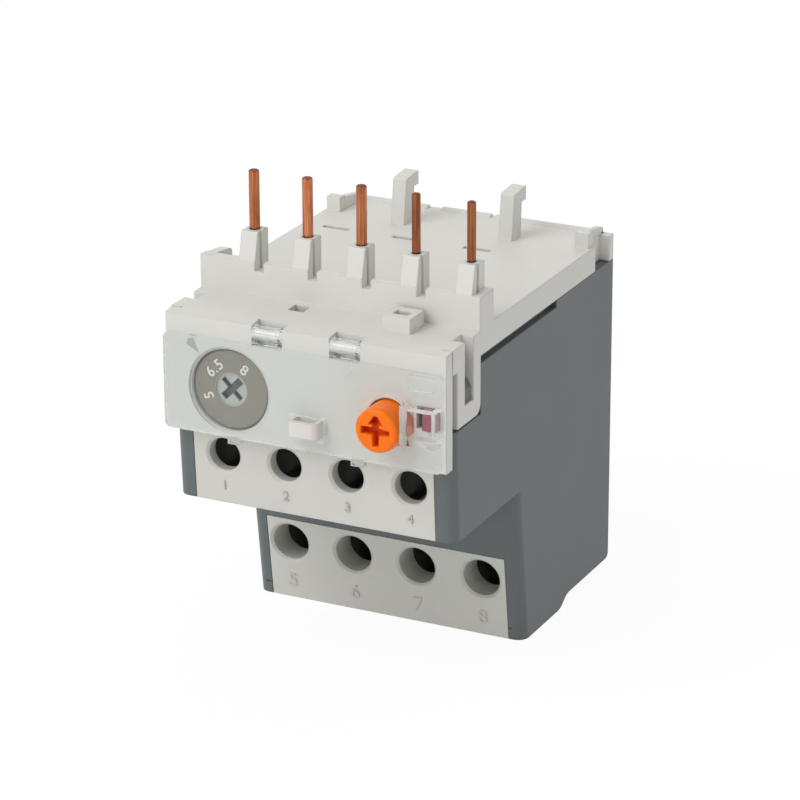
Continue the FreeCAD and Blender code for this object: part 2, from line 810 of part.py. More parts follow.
def make_terminal_block(label, places, half_width, hole, depth, level, mouth, corners):
    """A pale face plate with a countersunk hole and a screwdriver tube for each terminal."""
    body = new_body(label)
    add(body, "x", -half_width, half_width, corners)
    add(body, "y", mouth + s.plate_thickness / 2, mouth + depth,
        *[(x, level, hole + s.tube_wall) for x in places])
    cut(body, "y", mouth - s.plate_thickness, mouth + depth, *[(x, level, hole) for x in places])

    def mouth_edge(edge):
        ring = edge.BoundBox
        return ring.YMax < mouth + s.plate_thickness / 2 and abs(ring.XLength - 2 * hole) < 0.01

    round_edges(body, s.hole_lip, mouth_edge, "PartDesign::Chamfer")


def make_terminal_blocks():
    deep = s.plate_thickness
    make_terminal_block(
        "aux_terminal_block", aux_x, aux_plate_half, s.aux_hole_radius, s.aux_tube_depth,
        s.aux_level, aux_mouth,
        [(upper_toe, s.upper_floor), (upper_toe + deep, s.upper_floor),
         (upper_front + deep, s.upper_chin - s.slip), (upper_front, s.upper_chin - s.slip)])
    make_terminal_block(
        "main_terminal_block", main_x, main_plate_half, s.main_hole_radius,
        s.main_tube_depth, s.main_level, main_mouth,
        [(lower_toe, 0), (lower_toe + deep, 0), (main_plate_y + deep, s.main_plate_top),
         (main_plate_y, s.main_plate_top)])


def make_frame():
    """The inner frame: a floor with bearing walls for the dial shaft and the plunger."""
    body = new_body("mechanism_frame")
    wide = front_half - s.slip
    add(body, "z", s.frame_level, frame_top,
        box_loop(-wide, wide, upper_front + s.frame_setback, lever_y - s.play))
    low, high = dial_x - s.bearing_half, dial_x + s.bearing_half
    add(body, "z", frame_top - s.slip, s.dial_level + s.bearing_half,
        box_loop(low, high, bearing_front, bearing_front + s.rail_thickness))
    cut(body, "y", bearing_front, bearing_front + s.rail_thickness,
        (dial_x, s.dial_level, s.shaft_radius + s.turning))
    low, high = button_x - s.bearing_half, button_x + s.bearing_half
    add(body, "z", frame_top - s.slip, s.button_level + s.bearing_half,
        box_loop(low, high, guide_front, guide_front + s.rail_thickness))
    cut(body, "y", guide_front, guide_front + s.rail_thickness,
        (button_x, s.button_level, s.plunger_radius + s.turning))
    add(body, "z", frame_top - s.slip, s.button_level + s.plunger_radius, box_loop(
        post_x, post_x + s.rail_thickness,
        spring_row - s.spring_leaf - s.rail_thickness, spring_row - s.spring_leaf))
    return body


# ---- current path ----------------------------------------------------------------------

def conductor(label, radius, corners):
    """A round lead along corners joined by tangent bends, with the thicker plug pin on top."""
    points = [Vector(*[float(value) for value in corner]) for corner in corners]
    bend = float(s.wire_bend)
    edges = []
    start = points[0]
    for before, corner, after in zip(points, points[1:], points[2:]):
        back_way = (before - corner).normalize()
        ahead = (after - corner).normalize()
        reach = bend * math.tan((math.pi - back_way.getAngle(ahead)) / 2)
        first, last = corner + back_way * reach, corner + ahead * reach
        middle = corner + (back_way + ahead).normalize() * (
            bend / math.sin(back_way.getAngle(ahead) / 2) - bend)
        edges += [Part.LineSegment(start, first).toShape(), Part.Arc(first, middle, last).toShape()]
        start = last
    edges.append(Part.LineSegment(start, points[-1]).toShape())
    path = Part.Wire(edges)
    circle = Part.Circle(points[0], points[1] - points[0], float(radius - s.lead_step))
    lead = path.makePipeShell([Part.Wire(circle.toShape())], True, True)
    pin = Part.makeCylinder(float(radius), float(s.pin_top - pin_foot), points[0])
    rim = [edge for edge in pin.Edges if edge.BoundBox.ZMin > float(s.pin_top) - 1e-6]
    wire = doc.addObject("Part::Feature", label)
    wire.Label = label
    wire.Shape = pin.makeChamfer(float(s.pin_chamfer), rim).fuse(lead)


def make_conductors():
    for i, (x, radius) in enumerate(zip(pins_x[:3], pin_radii), start=1):
        conductor(f"line_conductor_{i}", radius, [
            (x, pin_row, pin_foot), (x, pin_row, s.wire_level),
            (x, lead_row, s.wire_level), (x, lead_row, s.lead_level)])
    conductor("coil_conductor", s.control_pin_radius, [
        (pins_x[3], pin_row, pin_foot), (pins_x[3], pin_row, s.wire_level),
        (pins_x[3], coil_row, s.wire_level), (pins_x[3], coil_row, coil_level),
        (aux_x[1], coil_row, coil_level)])
    conductor("control_conductor", s.control_pin_radius, [
        (pins_x[4], pin_row, pin_foot), (pins_x[4], pin_row, s.wire_level),
        (pins_x[4], control_row, s.wire_level),
        (pins_x[4], control_row, control_tab_top)])


def make_main_rails():
    """Flat rails: a threaded plate in each terminal, then a neck up to the bimetal."""
    side = s.rail_width / 2
    bore = s.main_shank_radius + s.thread_play
    for i, x in enumerate(main_x, start=1):
        body = new_body(f"load_rail_{i}" if i < 4 else "control_rail")
        if i < 4:
            add(body, "y", main_rail, rail_back,
                box_loop(x - side, x + side, s.rail_foot, s.neck_top))
        else:
            add(body, "y", main_rail, rail_back,
                box_loop(x - side, x + side, s.rail_foot, control_tab_top))
            step_back = rail_back + s.screw_room + s.play
            outer = pins_x[4] + s.control_pin_radius
            add(body, "z", control_tab_top - s.rail_thickness, control_tab_top, [
                (x - side, main_rail), (x + side, main_rail),
                (x + side, step_back), (outer, step_back),
                (outer, control_row + s.rail_thickness),
                (x - side, control_row + s.rail_thickness)])
        cut(body, "y", main_rail, rail_back, (x, s.main_level, bore))


def make_bimetals():
    """Three bimetal strips, each with its insulating sleeve and heater winding."""
    thick, wide = s.bimetal_thickness, s.bimetal_width
    front = bimetal_front
    middle = front + wide / 2
    for i, x in enumerate(main_x[:3], start=1):
        strip = new_body(f"bimetal_strip_{i}")
        add(strip, "z", s.bimetal_foot, s.bimetal_top,
            box_loop(x - thick / 2, x + thick / 2, front, front + wide))
        inner_x, inner_y = thick / 2 + s.turning, wide / 2 + s.turning
        outer_x, outer_y = inner_x + s.sleeve_wall, inner_y + s.sleeve_wall
        sleeve = new_body(f"heater_sleeve_{i}")
        sleeve_top = heater_foot + s.heater_turns * s.heater_pitch + s.heater_pitch
        add(sleeve, "z", heater_foot - s.heater_pitch / 2, sleeve_top,
            box_loop(x - outer_x, x + outer_x, middle - outer_y, middle + outer_y),
            box_loop(x - inner_x, x + inner_x, middle - inner_y, middle + inner_y))
        make_heater(f"heater_winding_{i}", x, middle, outer_x, outer_y)


def make_heater(label, x, middle, inner_x, inner_y):
    """A flat ribbon wound round the sleeve; each turn climbs on the far side."""
    ribbon, pitch, thick = s.heater_ribbon, s.heater_pitch, s.heater_thickness
    outer_x, outer_y = inner_x + thick, inner_y + thick
    shapes = []
    for turn in range(int(s.heater_turns)):
        low = heater_foot + turn * pitch
        shapes += [
            block(x - outer_x, x + outer_x, middle - outer_y, middle - inner_y, low, low + ribbon),
            block(x - outer_x, x - inner_x, middle - outer_y, middle + outer_y, low, low + ribbon),
            block(x + inner_x, x + outer_x, middle - outer_y, middle + outer_y, low, low + ribbon),
            block(x - outer_x, x, middle + inner_y, middle + outer_y, low, low + ribbon),
            block(x, x + outer_x, middle + inner_y, middle + outer_y, low, low + pitch + ribbon)]
    last = heater_foot + s.heater_turns * pitch
    shapes += [
        block(x + inner_x, x + outer_x, middle - outer_y, middle + outer_y, last, last + ribbon),
        block(x + inner_x, x + outer_x, lead_row + s.power_pin_radius + s.play,
              middle - outer_y, last, last + ribbon)]
    fuse(label, shapes)


def block(low_x, high_x, low_y, high_y, low_z, high_z):
    """A plain box between places tied to the sheet."""
    item = doc.addObject("Part::Box", "block")
    lows, highs = (low_x, low_y, low_z), (high_x, high_y, high_z)
    for name, axis, low, high in zip(("Length", "Width", "Height"), "xyz", lows, highs):
        bind(item, name, high - low)
        bind(item, f"Placement.Base.{axis}", low)
    return item


def fuse(label, shapes):
    item = doc.addObject("Part::MultiFuse", label)
    item.Label = label
    item.Shapes = shapes
    return item


# ---- terminals ---------------------------------------------------------------------------

def make_terminal_hardware(name, places, level, rail, clamp_side, shank, head, shank_length):
    """A square clamp washer and its slotted screw for each terminal, both pulled tight."""
    side = clamp_side / 2
    clamp_back = rail - s.play
    clamp_front = clamp_back - s.clamp_thickness
    for i, x in enumerate(places, start=1):
        clamp = new_body(f"{name}_clamp_{i}")
        add(clamp, "y", clamp_front, clamp_back,
            box_loop(x - side, x + side, level - side, level + side, s.play))
        cut(clamp, "y", clamp_front, clamp_back, (x, level, shank + s.thread_play))
        screw = new_body(f"{name}_screw_{i}")
        place(screw, x, clamp_front - s.turning, level, FACE_FRONT)
        turned(screw, [
            (0, -shank_length), (shank, -shank_length), (shank, 0), (head, 0),
            (head, s.head_height - s.play), (head - s.play, s.head_height), (0, s.head_height)])
        cut(screw, "x", -head, head, box_loop(
            -s.driver_slot / 2, s.driver_slot / 2, s.head_height / 2, s.head_height))


# ---- contacts and trip mechanism ---------------------------------------------------------

def make_aux_rails():
    """Four auxiliary rails: two end in the break contact, two in the make contact."""
    names = ["break_rail_in", "break_rail_out", "make_rail_in", "make_rail_out"]
    side = s.rail_width / 2
    finger = side / 2
    bore = s.aux_shank_radius + s.thread_play
    foot_top = aux_floor + s.slip * 2 + s.contact_thickness
    for i, (name, x) in enumerate(zip(names, aux_x)):
        body = new_body(name)
        add(body, "y", aux_rail, aux_rail_back,
            box_loop(x - side, x + side, aux_floor + s.slip * 2, aux_top))
        if i < 2:
            upright_front = contact_front - s.contact_thickness
        else:
            upright_front = carrier_back + s.bridge_thickness + carrier_travel + s.slip
        upright_back = upright_front + s.contact_thickness
        foot_end_y = coil_row + s.control_pin_radius if i == 1 else upright_back
        add(body, "z", aux_floor + s.slip * 2, foot_top,
            box_loop(x - finger, x + finger, aux_rail, foot_end_y))
        add(body, "y", upright_front, upright_back,
            box_loop(x - finger, x + finger, aux_floor + s.slip * 2,
                     s.bridge_level + s.bridge_depth))
        cut(body, "y", aux_rail, aux_rail_back, (x, s.aux_level, bore))


def make_contacts():
    """The carrier slide with a bridge in front of its stem and one behind."""
    stem_half = s.rail_width / 4
    low, high = s.bridge_level, s.bridge_level + s.bridge_depth
    middles = [(aux_x[0] + aux_x[1]) / 2, (aux_x[2] + aux_x[3]) / 2]
    body = new_body("contact_carrier")
    add(body, "z", s.carrier_level, s.carrier_level + s.carrier_depth, box_loop(
        middles[0] - stem_half * 2, middles[1] + stem_half * 2, carrier_front, carrier_back))
    add(body, "z", low, s.carrier_level + s.slip, *[
        box_loop(x - stem_half, x + stem_half, carrier_front, carrier_back) for x in middles])
    post = push_x - s.lever_width, push_x + s.lever_width
    add(body, "z", s.carrier_level, s.lever_top,
        box_loop(*post, lever_y + s.lever_width / 2 + s.play, carrier_front + s.slip))
    add(body, "z", s.carrier_level + s.carrier_depth - s.slip, s.lever_top, box_loop(
        horn_x, horn_x + s.carrier_depth, carrier_front, carrier_back))
    span = aux_pitch / 2 + stem_half
    bridges = [("break_bridge", middles[0], carrier_front - s.bridge_thickness, carrier_front),
               ("make_bridge", middles[1], carrier_back, carrier_back + s.bridge_thickness)]
    for name, x, front, rear in bridges:
        bridge = new_body(name)
        add(bridge, "y", front, rear, box_loop(x - span, x + span, low, high))


def make_trip_parts():
    """Trip bar over the bimetals, adjusting slide, and the lever that it carries."""
    bar = new_body("trip_bar")
    bar_front = bimetal_front - s.bar_margin
    bar_back = bimetal_front + s.bimetal_width + s.bar_margin
    arm_right = lever_x - s.lever_width / 2 - s.trip_gap
    arm_left = arm_right - s.arm_width
    lever_tip = lever_y + s.lever_reach
    add(bar, "z", s.trip_bar_level, trip_bar_top, [
        (main_x[0] - s.bar_margin - s.play, bar_front), (arm_left, bar_front),
        (arm_left, lever_tip - s.arm_width), (arm_right, lever_tip - s.arm_width),
        (arm_right, bar_back), (main_x[0] - s.bar_margin - s.play, bar_back)])
    gap = s.bimetal_thickness / 2 + s.play
    cut(bar, "z", s.trip_bar_level, trip_bar_top, *[
        box_loop(x - gap, x + gap, bimetal_front - s.play,
                 bimetal_front + s.bimetal_width + s.play) for x in main_x[:3]])

    slide = new_body("adjusting_slide")
    slide_low = frame_top + s.play
    slide_top = slide_low + s.frame_thickness
    follower = dial_x + s.cam_radius + s.play
    strip_back = lever_y + s.lever_width / 2
    add(slide, "z", slide_low, slide_top, [
        (follower - s.rail_thickness, cam_front), (follower + s.rail_thickness, cam_front),
        (follower + s.rail_thickness, strip_back - s.slide_width),
        (lever_x + s.slide_pad, strip_back - s.slide_width),
        (lever_x + s.slide_pad, strip_back),
        (follower - s.rail_thickness, strip_back)])
    add(slide, "z", slide_top - s.slip, s.dial_level + s.rail_thickness, box_loop(
        follower, follower + s.rail_thickness, cam_front, cam_back))
    add(slide, "z", slide_top - s.slip, s.lever_top, (lever_x, lever_y, s.pivot_radius))

    lever = new_body("trip_lever")
    lever_low = slide_top + s.play
    arm_half = s.lever_width / 2
    add(lever, "z", lever_low, trip_bar_top + s.play, [
        (lever_x - arm_half, lever_y), (lever_x + arm_half, lever_y),
        (lever_x + arm_half, lever_tip, s.play),
        (lever_x - arm_half, lever_tip, s.play)])
    add(lever, "z", lever_low, s.lever_top - s.play, [
        (lever_x, lever_y - arm_half), (lever_x, lever_y + arm_half),
        (push_x - arm_half, lever_y + arm_half, s.play),
        (push_x - arm_half, lever_y - arm_half, s.play)])
    add(lever, "z", lever_low, s.lever_top - s.play,
        (lever_x, lever_y, s.pivot_radius + s.wall / 2))
    cut(lever, "z", lever_low, trip_bar_top + s.play,
        (lever_x, lever_y, s.pivot_radius + s.turning))

    leaf = new_body("snap_spring")
    corner_x = post_x
    add(leaf, "z", s.button_level - s.plunger_radius, s.button_level + s.plunger_radius, [
        (button_x, spring_row), (corner_x, spring_row),
        (horn_x + s.wall, carrier_front - s.play - s.slip),
        (horn_x + s.wall - s.spring_leaf, carrier_front - s.play - s.slip),
        (corner_x - s.spring_leaf / 2, spring_row - s.spring_leaf),
        (button_x, spring_row - s.spring_leaf)])


# ---- controls on the front -----------------------------------------------------------------

def make_dial():
    """The current dial: a disc with a flange behind the panel, a shaft and an eccentric."""
    body = new_body("current_dial")
    place(body, dial_x, panel_front, s.dial_level, FACE_FRONT)
    face = -s.dial_depth
    flange = -s.panel_thickness - s.play
    shaft_end = panel_front - cam_back
    turned(body, [
        (0, face - s.play), (s.hub_radius, face - s.play), (s.hub_radius, face),
        (s.dial_radius - s.play, face), (s.dial_radius, face - s.play), (s.dial_radius, flange),
        (s.dial_radius + s.play, flange),
        (s.dial_radius + s.play, flange - s.dial_flange),
        (s.shaft_radius, flange - s.dial_flange), (s.shaft_radius, shaft_end), (0, shaft_end)])
    add(body, "z", shaft_end, shaft_end + (cam_back - cam_front), (0, s.cam_rise, s.cam_radius))
    slot_floor = face - s.play - s.driver_slot
    diagonal = math.sqrt(0.5)
    reach = diagonal * s.hub_radius * 0.8
    for lean, width in ((1, s.dial_slot), (-1, s.driver_slot)):
        wide = diagonal * width / 2
        cut(body, "z", slot_floor, face, [
            (reach - wide, lean * (reach + wide)), (-reach - wide, lean * (wide - reach)),
            (wide - reach, lean * (-reach - wide)), (reach + wide, lean * (reach - wide))])


def make_reset():
    """The reset knob turns on the plunger, which slides in its guide against a spring."""
    knob = new_body("reset_button")
    place(knob, button_x, panel_front, s.button_level, FACE_FRONT)
    radius, tip = s.button_radius, s.button_reach
    rear = -s.panel_thickness + s.wall / 2
    socket = s.plunger_radius + s.turning
    turned(knob, [
        (0, rear + s.socket_depth), (socket, rear + s.socket_depth), (socket, rear),
        (radius, rear), (radius, tip, s.knob_bevel), (0, tip)])
    arm, wide = radius * 0.75, s.driver_slot / 2
    for long_x, long_y in ((arm, wide), (wide, arm)):
        cut(knob, "z", tip - s.driver_slot * 1.5, tip, box_loop(-long_x, long_x, -long_y, long_y))

    plunger = new_body("reset_plunger")
    place(plunger, button_x, panel_front, s.button_level, FACE_FRONT)
    flange = -s.panel_thickness - s.play
    turned(plunger, [
        (0, plunger_end), (s.plunger_radius, plunger_end),
        (s.plunger_radius, flange - s.dial_flange),
        (s.plunger_flange, flange - s.dial_flange), (s.plunger_flange, flange),
        (s.plunger_radius, flange), (s.plunger_radius, rear + s.socket_depth - s.play),
        (0, rear + s.socket_depth - s.play)])

    spring_top = flange - s.dial_flange - s.slip
    spring_foot = panel_front - guide_front + s.slip
    spring = new_body("reset_spring")
    place(spring, button_x, panel_front, s.button_level, FACE_FRONT)
    sketch = sketch_on(spring, "y", 0)
    draw_loop(sketch, box_loop(s.spring_radius - s.spring_wire, s.spring_radius + s.spring_wire,
                               spring_foot, spring_foot + s.spring_wire * 2))
    coil = spring.newObject("PartDesign::AdditiveHelix", "coil")
    coil.Profile = sketch
    coil.ReferenceAxis = (sketch, ["V_Axis"])
    coil.Mode = "pitch-height-angle"
    bind(coil, "Pitch", (spring_top - spring_foot - s.spring_wire * 2) / s.spring_turns)
    bind(coil, "Height", spring_top - spring_foot - s.spring_wire * 2)


def make_slider():
    """The test slider: a tab through the panel, a lip behind it and a leg inside."""
    body = new_body("test_slider")
    tall = s.slider_height / 2
    low, high = s.slider_level - tall, s.slider_level + tall
    lip_front = upper_front - s.slider_pocket + s.slip
    lip_back = upper_front - s.slip
    add(body, "y", panel_front - s.slider_reach, lip_back,
        box_loop(slider_left, slider_right, low, high))
    add(body, "y", lip_front, lip_back, box_loop(
        leg_left, slider_right, low - s.slider_lip + s.slip, high + s.slider_lip - s.slip))
    add(body, "y", lip_back - s.slip, upper_front + s.slider_leg,
        box_loop(leg_left, leg_left + s.slider_leg_wall, low, high))


def make_clear_cover():
    """The clear front cover: a plate with hinge clips, a window and a raised box."""
    body = new_body("clear_cover")
    wide = half - s.clear_edge
    add(body, "y", clear_front, clear_back,
        box_loop(-wide, wide, s.clear_bottom, s.clear_top, s.small_round))
    cut(body, "y", clear_front, clear_back, (button_x, s.button_level, s.button_window),
        box_loop(s.eyelet_place - s.eyelet_half - s.play, s.eyelet_place + s.eyelet_half + s.play,
                 s.eyelet_level - s.eyelet_height / 2 - s.swing_room,
                 s.eyelet_level + s.eyelet_height / 2 + s.play))
    box_back = clear_back
    box_front = clear_front - s.test_box_depth
    left, right = slider_left - s.slider_travel - s.play - s.clear_thickness, wide
    low, high = s.slider_level - s.test_box_half, s.slider_level + s.test_box_half
    add(body, "y", box_front, clear_back, box_loop(left, right, low, high))
    wall = s.clear_thickness
    cut(body, "y", box_front + wall, box_back,
        box_loop(left + wall, right - wall, low + wall, high - wall))
    for x in spread(2, s.tab_spacing, s.tab_middle):
        add(body, "y", clear_front, clear_back, box_loop(
            x - s.tab_width / 2, x + s.tab_width / 2,
            s.clear_bottom - s.tab_drop, s.clear_bottom + s.small_round))
    raised = clear_front - s.rib_rise
    add(body, "y", raised, clear_front + s.slip, box_loop(
        s.rib_place - s.rib_width / 2, s.rib_place + s.rib_width / 2,
        s.clear_top - s.rib_length, s.clear_top - s.play))
    add(body, "y", raised, clear_front + s.slip, box_loop(
        wide - s.pad_inset, wide - s.small_round,
        s.clear_top - s.pad_height, s.clear_top - s.play, s.play))
    reach = s.clip_width / 2
    neck_low = s.clear_top - s.wall
    for x in clips_x:
        add(body, "x", x - reach, x + reach, (hinge_row, s.hinge_level, clip_radius))
        add(body, "x", x - reach, x + reach, box_loop(
            hinge_row - clip_radius, clear_back, neck_low, s.hinge_level))
        cut(body, "x", x - reach, x + reach, (hinge_row, s.hinge_level, s.hinge_bar + s.turning))
        mouth = s.hinge_bar * 0.8
        cut(body, "x", x - reach, x + reach, box_loop(
            hinge_row, hinge_row + clip_radius, s.hinge_level - mouth, s.hinge_level + mouth))
    return body


# ---- build, check and write ------------------------------------------------------------------

make_housing()
make_top_cover()
make_terminal_blocks()
make_frame()
make_conductors()
make_main_rails()
make_bimetals()
make_terminal_hardware("main", main_x, s.main_level, main_rail, s.main_clamp_side,
                       s.main_shank_radius, s.main_head_radius, s.main_shank_length)
make_terminal_hardware("aux", aux_x, s.aux_level, aux_rail, s.aux_clamp_side,
                       s.aux_shank_radius, s.aux_head_radius, s.aux_shank_length)
make_aux_rails()
make_contacts()
make_trip_parts()
make_dial()
make_reset()
make_slider()
make_clear_cover()
doc.recompute()

for item in doc.Objects:
    if "Invalid" in item.State or "Error" in item.State:
        raise RuntimeError(f"{item.Label} did not build: {item.State}")

PIECE_KINDS = ("PartDesign::Body", "Part::MultiFuse", "Part::Feature")
os.makedirs("parts", exist_ok=True)
for item in doc.Objects:
    if item.TypeId not in PIECE_KINDS:
        continue
    if item.Shape.isNull() or not item.Shape.isValid() or not item.Shape.Solids:
        raise RuntimeError(f"{item.Label} has no sound solid")
    item.Shape.exportStep(f"parts/{item.Label}.step")
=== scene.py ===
"""Dress a thermal overload relay: its finishes, printed marks, coil spring and studio."""

import math

import bmesh
import bpy
import numpy as np
from mathutils import Matrix, Vector
from mathutils.bvhtree import BVHTree


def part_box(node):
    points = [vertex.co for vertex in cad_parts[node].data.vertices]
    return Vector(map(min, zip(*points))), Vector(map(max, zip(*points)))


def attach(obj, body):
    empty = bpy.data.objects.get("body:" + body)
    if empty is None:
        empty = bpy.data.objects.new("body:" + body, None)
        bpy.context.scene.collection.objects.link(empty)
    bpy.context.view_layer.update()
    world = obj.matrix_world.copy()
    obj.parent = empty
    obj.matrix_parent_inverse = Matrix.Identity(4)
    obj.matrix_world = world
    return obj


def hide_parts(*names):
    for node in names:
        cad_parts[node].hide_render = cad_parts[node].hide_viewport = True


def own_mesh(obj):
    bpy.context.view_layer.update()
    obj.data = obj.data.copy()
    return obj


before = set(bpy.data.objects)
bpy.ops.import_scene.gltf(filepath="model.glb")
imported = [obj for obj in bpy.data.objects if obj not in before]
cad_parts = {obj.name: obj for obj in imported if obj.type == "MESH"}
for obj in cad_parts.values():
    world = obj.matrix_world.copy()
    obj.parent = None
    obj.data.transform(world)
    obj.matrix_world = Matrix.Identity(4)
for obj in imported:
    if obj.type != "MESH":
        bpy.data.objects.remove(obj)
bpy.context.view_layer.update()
MM = 0.001

DIGIT_SHARE = 0.73   # a digit's height as a share of the font's size
KNOB_FLARE = 1.012   # the reset knob's width at its rear, as a share of the width at its face
POINTER_TURN = 133.0   # where the panel's pointer stands round the dial, in degrees from +X
DIAL_NUMERALS = (("5", 202.0), ("6.5", 133.0), ("8", 56.0))   # text, degrees from +X
DIAL_DOTS = (   # degrees from +X, mm from the dial's middle, and radius in mm
    (69.0, 5.0, 0.17), (179.0, 5.2, 0.17), (133.0, 5.25, 0.2))
KNOB_DRAWN_RADIUS = 3.35   # the knob's radius that its cross is drawn for, in mm
KNOB_ARMS = (   # convex (x, z) outlines in mm, anticlockwise: shaft, arrow head, and the rest
    ((-0.62, -0.4), (0.62, -0.4), (0.55, 1.3), (-0.55, 1.3)),
    ((-1.2, 0.95), (1.2, 0.95), (0.35, 2.35), (-0.35, 2.35)),
    ((-0.5, -2.35), (0.5, -2.35), (0.62, 0.4), (-0.62, 0.4)),
    ((-2.35, -0.6), (0.4, -0.68), (0.4, 0.68), (-2.35, 0.6)),
    ((-0.4, -0.68), (2.2, -0.45), (2.2, 0.4), (-0.4, 0.68)))
LAMPS = (   # name, place in metres, width in metres, power in watts
    ("key_lamp", (-0.55, -0.75, 1.05), 0.9, 8.5),
    ("front_lamp", (-0.3, -1.05, 0.12), 0.5, 1.8),
    ("fill_lamp", (0.95, -0.45, 0.55), 0.8, 0.2),
    ("rear_lamp", (0.1, 0.9, 0.9), 0.9, 2.1))

bl_info = {
    "name": "Overload Relay Dress",
    "version": (1, 0, 0),
    "blender": (4, 5, 0),
    "location": "View3D > Sidebar > Relay",
    "description": "Finishes, printed marks and studio for a thermal overload relay",
    "category": "Object",
}


# ------------------------------------------------------------------ shader expressions

class Value:
    """A shader socket. Sums, differences and products of it add Math nodes."""

    def __init__(self, finish, socket):
        self.finish = finish
        self.socket = socket

    def __add__(self, other):
        return self.finish.math("ADD", self, other)

    def __radd__(self, other):
        return self.finish.math("ADD", other, self)

    def __sub__(self, other):
        return self.finish.math("SUBTRACT", self, other)

    def __rsub__(self, other):
        return self.finish.math("SUBTRACT", other, self)

    def __mul__(self, other):
        return self.finish.math("MULTIPLY", self, other)

    def __rmul__(self, other):
        return self.finish.math("MULTIPLY", other, self)


class Finish:
    """A material under construction: one Principled shader and the nodes that feed it."""

    def __init__(self, name, **uniform):
        self.material = bpy.data.materials.new(name)
        self.material.use_nodes = True
        self.tree = self.material.node_tree
        self.tree.nodes.clear()
        self.shader = self.node("ShaderNodeBsdfPrincipled")
        self.output = self.tree.nodes.new("ShaderNodeOutputMaterial")
        self.surface(self.shader)
        self.set(**uniform)

    def node(self, kind, settings=None, values=None, out=0):
        """Add a node: its settings first, then the values or links of its sockets."""
        node = self.tree.nodes.new(kind)
        for key, value in (settings or {}).items():
            setattr(node, key, value)
        for key, value in (values or {}).items():
            self.feed(node.inputs[key], value)
        return Value(self, node.outputs[out])

    def feed(self, socket, value):
        """Link a Value to a socket, or write a plain number, vector or colour into it."""
        if isinstance(value, Value):
            self.tree.links.new(value.socket, socket)
        elif isinstance(value, tuple) and socket.type == "RGBA":
            socket.default_value = (*value, 1.0)
        else:
            socket.default_value = value

    def set(self, **values):
        """Feed the Principled shader's sockets, with underscores for spaces in their names."""
        node = self.shader.socket.node
        for key, value in values.items():
            self.feed(node.inputs[key.replace("_", " ")], value)

    def surface(self, shader):
        """Make a shader the material's surface."""
        self.tree.links.new(shader.socket, self.output.inputs["Surface"])

    def math(self, operation, *values):
        """One Math node on numbers or Values."""
        return self.node("ShaderNodeMath", {"operation": operation}, dict(enumerate(values)))

    def object_place(self):
        """The place of a point in the frame, in metres."""
        return self.node("ShaderNodeTexCoord", out="Object")

    def axes(self):
        """The three coordinates of a point as separate Values."""
        split = self.node("ShaderNodeSeparateXYZ", None, {0: self.object_place()})
        outputs = split.socket.node.outputs
        return [Value(self, outputs[i]) for i in range(3)]

    def stretched(self, scale):
        """Object coordinates scaled along each axis, for grain that runs one way."""
        return self.node("ShaderNodeMapping", None, {
            "Vector": self.object_place(), "Scale": scale})

    def noise(self, per_metre, detail=3.0, rough=0.55, place=None):
        """Fractal noise from 0 to 1 with features of about 1 / per_metre metres."""
        return self.node("ShaderNodeTexNoise", {"noise_dimensions": "3D"}, {
            "Vector": place or self.object_place(), "Scale": per_metre,
            "Detail": detail, "Roughness": rough})

    def cells(self, per_metre):
        """Distance to the nearest of scattered points, for pitted and eroded grain."""
        return self.node("ShaderNodeTexVoronoi", {"feature": "F1"}, {
            "Vector": self.object_place(), "Scale": per_metre})

    def rise(self, value, low, high):
        """0 below low, 1 above high, and smooth between."""
        return self.node("ShaderNodeMapRange", {"interpolation_type": "SMOOTHSTEP"}, {
            "Value": value, "From Min": low, "From Max": high})

    def between(self, factor, first, second):
        """A colour that turns from the first to the second as the factor goes from 0 to 1."""
        return self.node("ShaderNodeMix", {"data_type": "RGBA"}, {
            0: factor, 6: first, 7: second}, out=2)

    def edges(self, radius):
        """The normal that slightly rounded edges of that radius would have."""
        return self.node("ShaderNodeBevel", {"samples": 4}, {"Radius": radius})

    def wear(self, rounded):
        """1 along edges and 0 on flats: how far the rounded normal leaves the true one."""
        true = self.node("ShaderNodeNewGeometry", out="True Normal")
        dot = self.node("ShaderNodeVectorMath", {"operation": "DOT_PRODUCT"}, {
            0: rounded, 1: true}, out="Value")
        return self.rise(1.0 - dot, 0.02, 0.25)

    def rays(self, *kinds):
        """1 for rays of any of these kinds and 0 for the others."""
        outputs = self.node("ShaderNodeLightPath").socket.node.outputs
        first, *others = (Value(self, outputs[f"Is {kind} Ray"]) for kind in kinds)
        return self.math("MINIMUM", sum(others, first), 1.0)

    def relief(self, height, distance, normal=None):
        """A bump of the given depth on top of a normal."""
        values = {"Height": height, "Distance": distance, "Strength": 1.0}
        if normal:
            values["Normal"] = normal
        return self.node("ShaderNodeBump", None, values)


def shade(red, green, blue):
    """The linear colour of display levels from 0 to 255."""
    levels = np.array([red, green, blue]) / 255.0
    linear = np.where(levels <= 0.04045, levels / 12.92, ((levels + 0.055) / 1.055) ** 2.4)
    return tuple(float(v) for v in linear)


def tint(colour, factor):
    """A colour made lighter or darker by a factor."""
    return tuple(min(1.0, max(0.0, channel * factor)) for channel in colour)


# ------------------------------------------------------------------ finishes

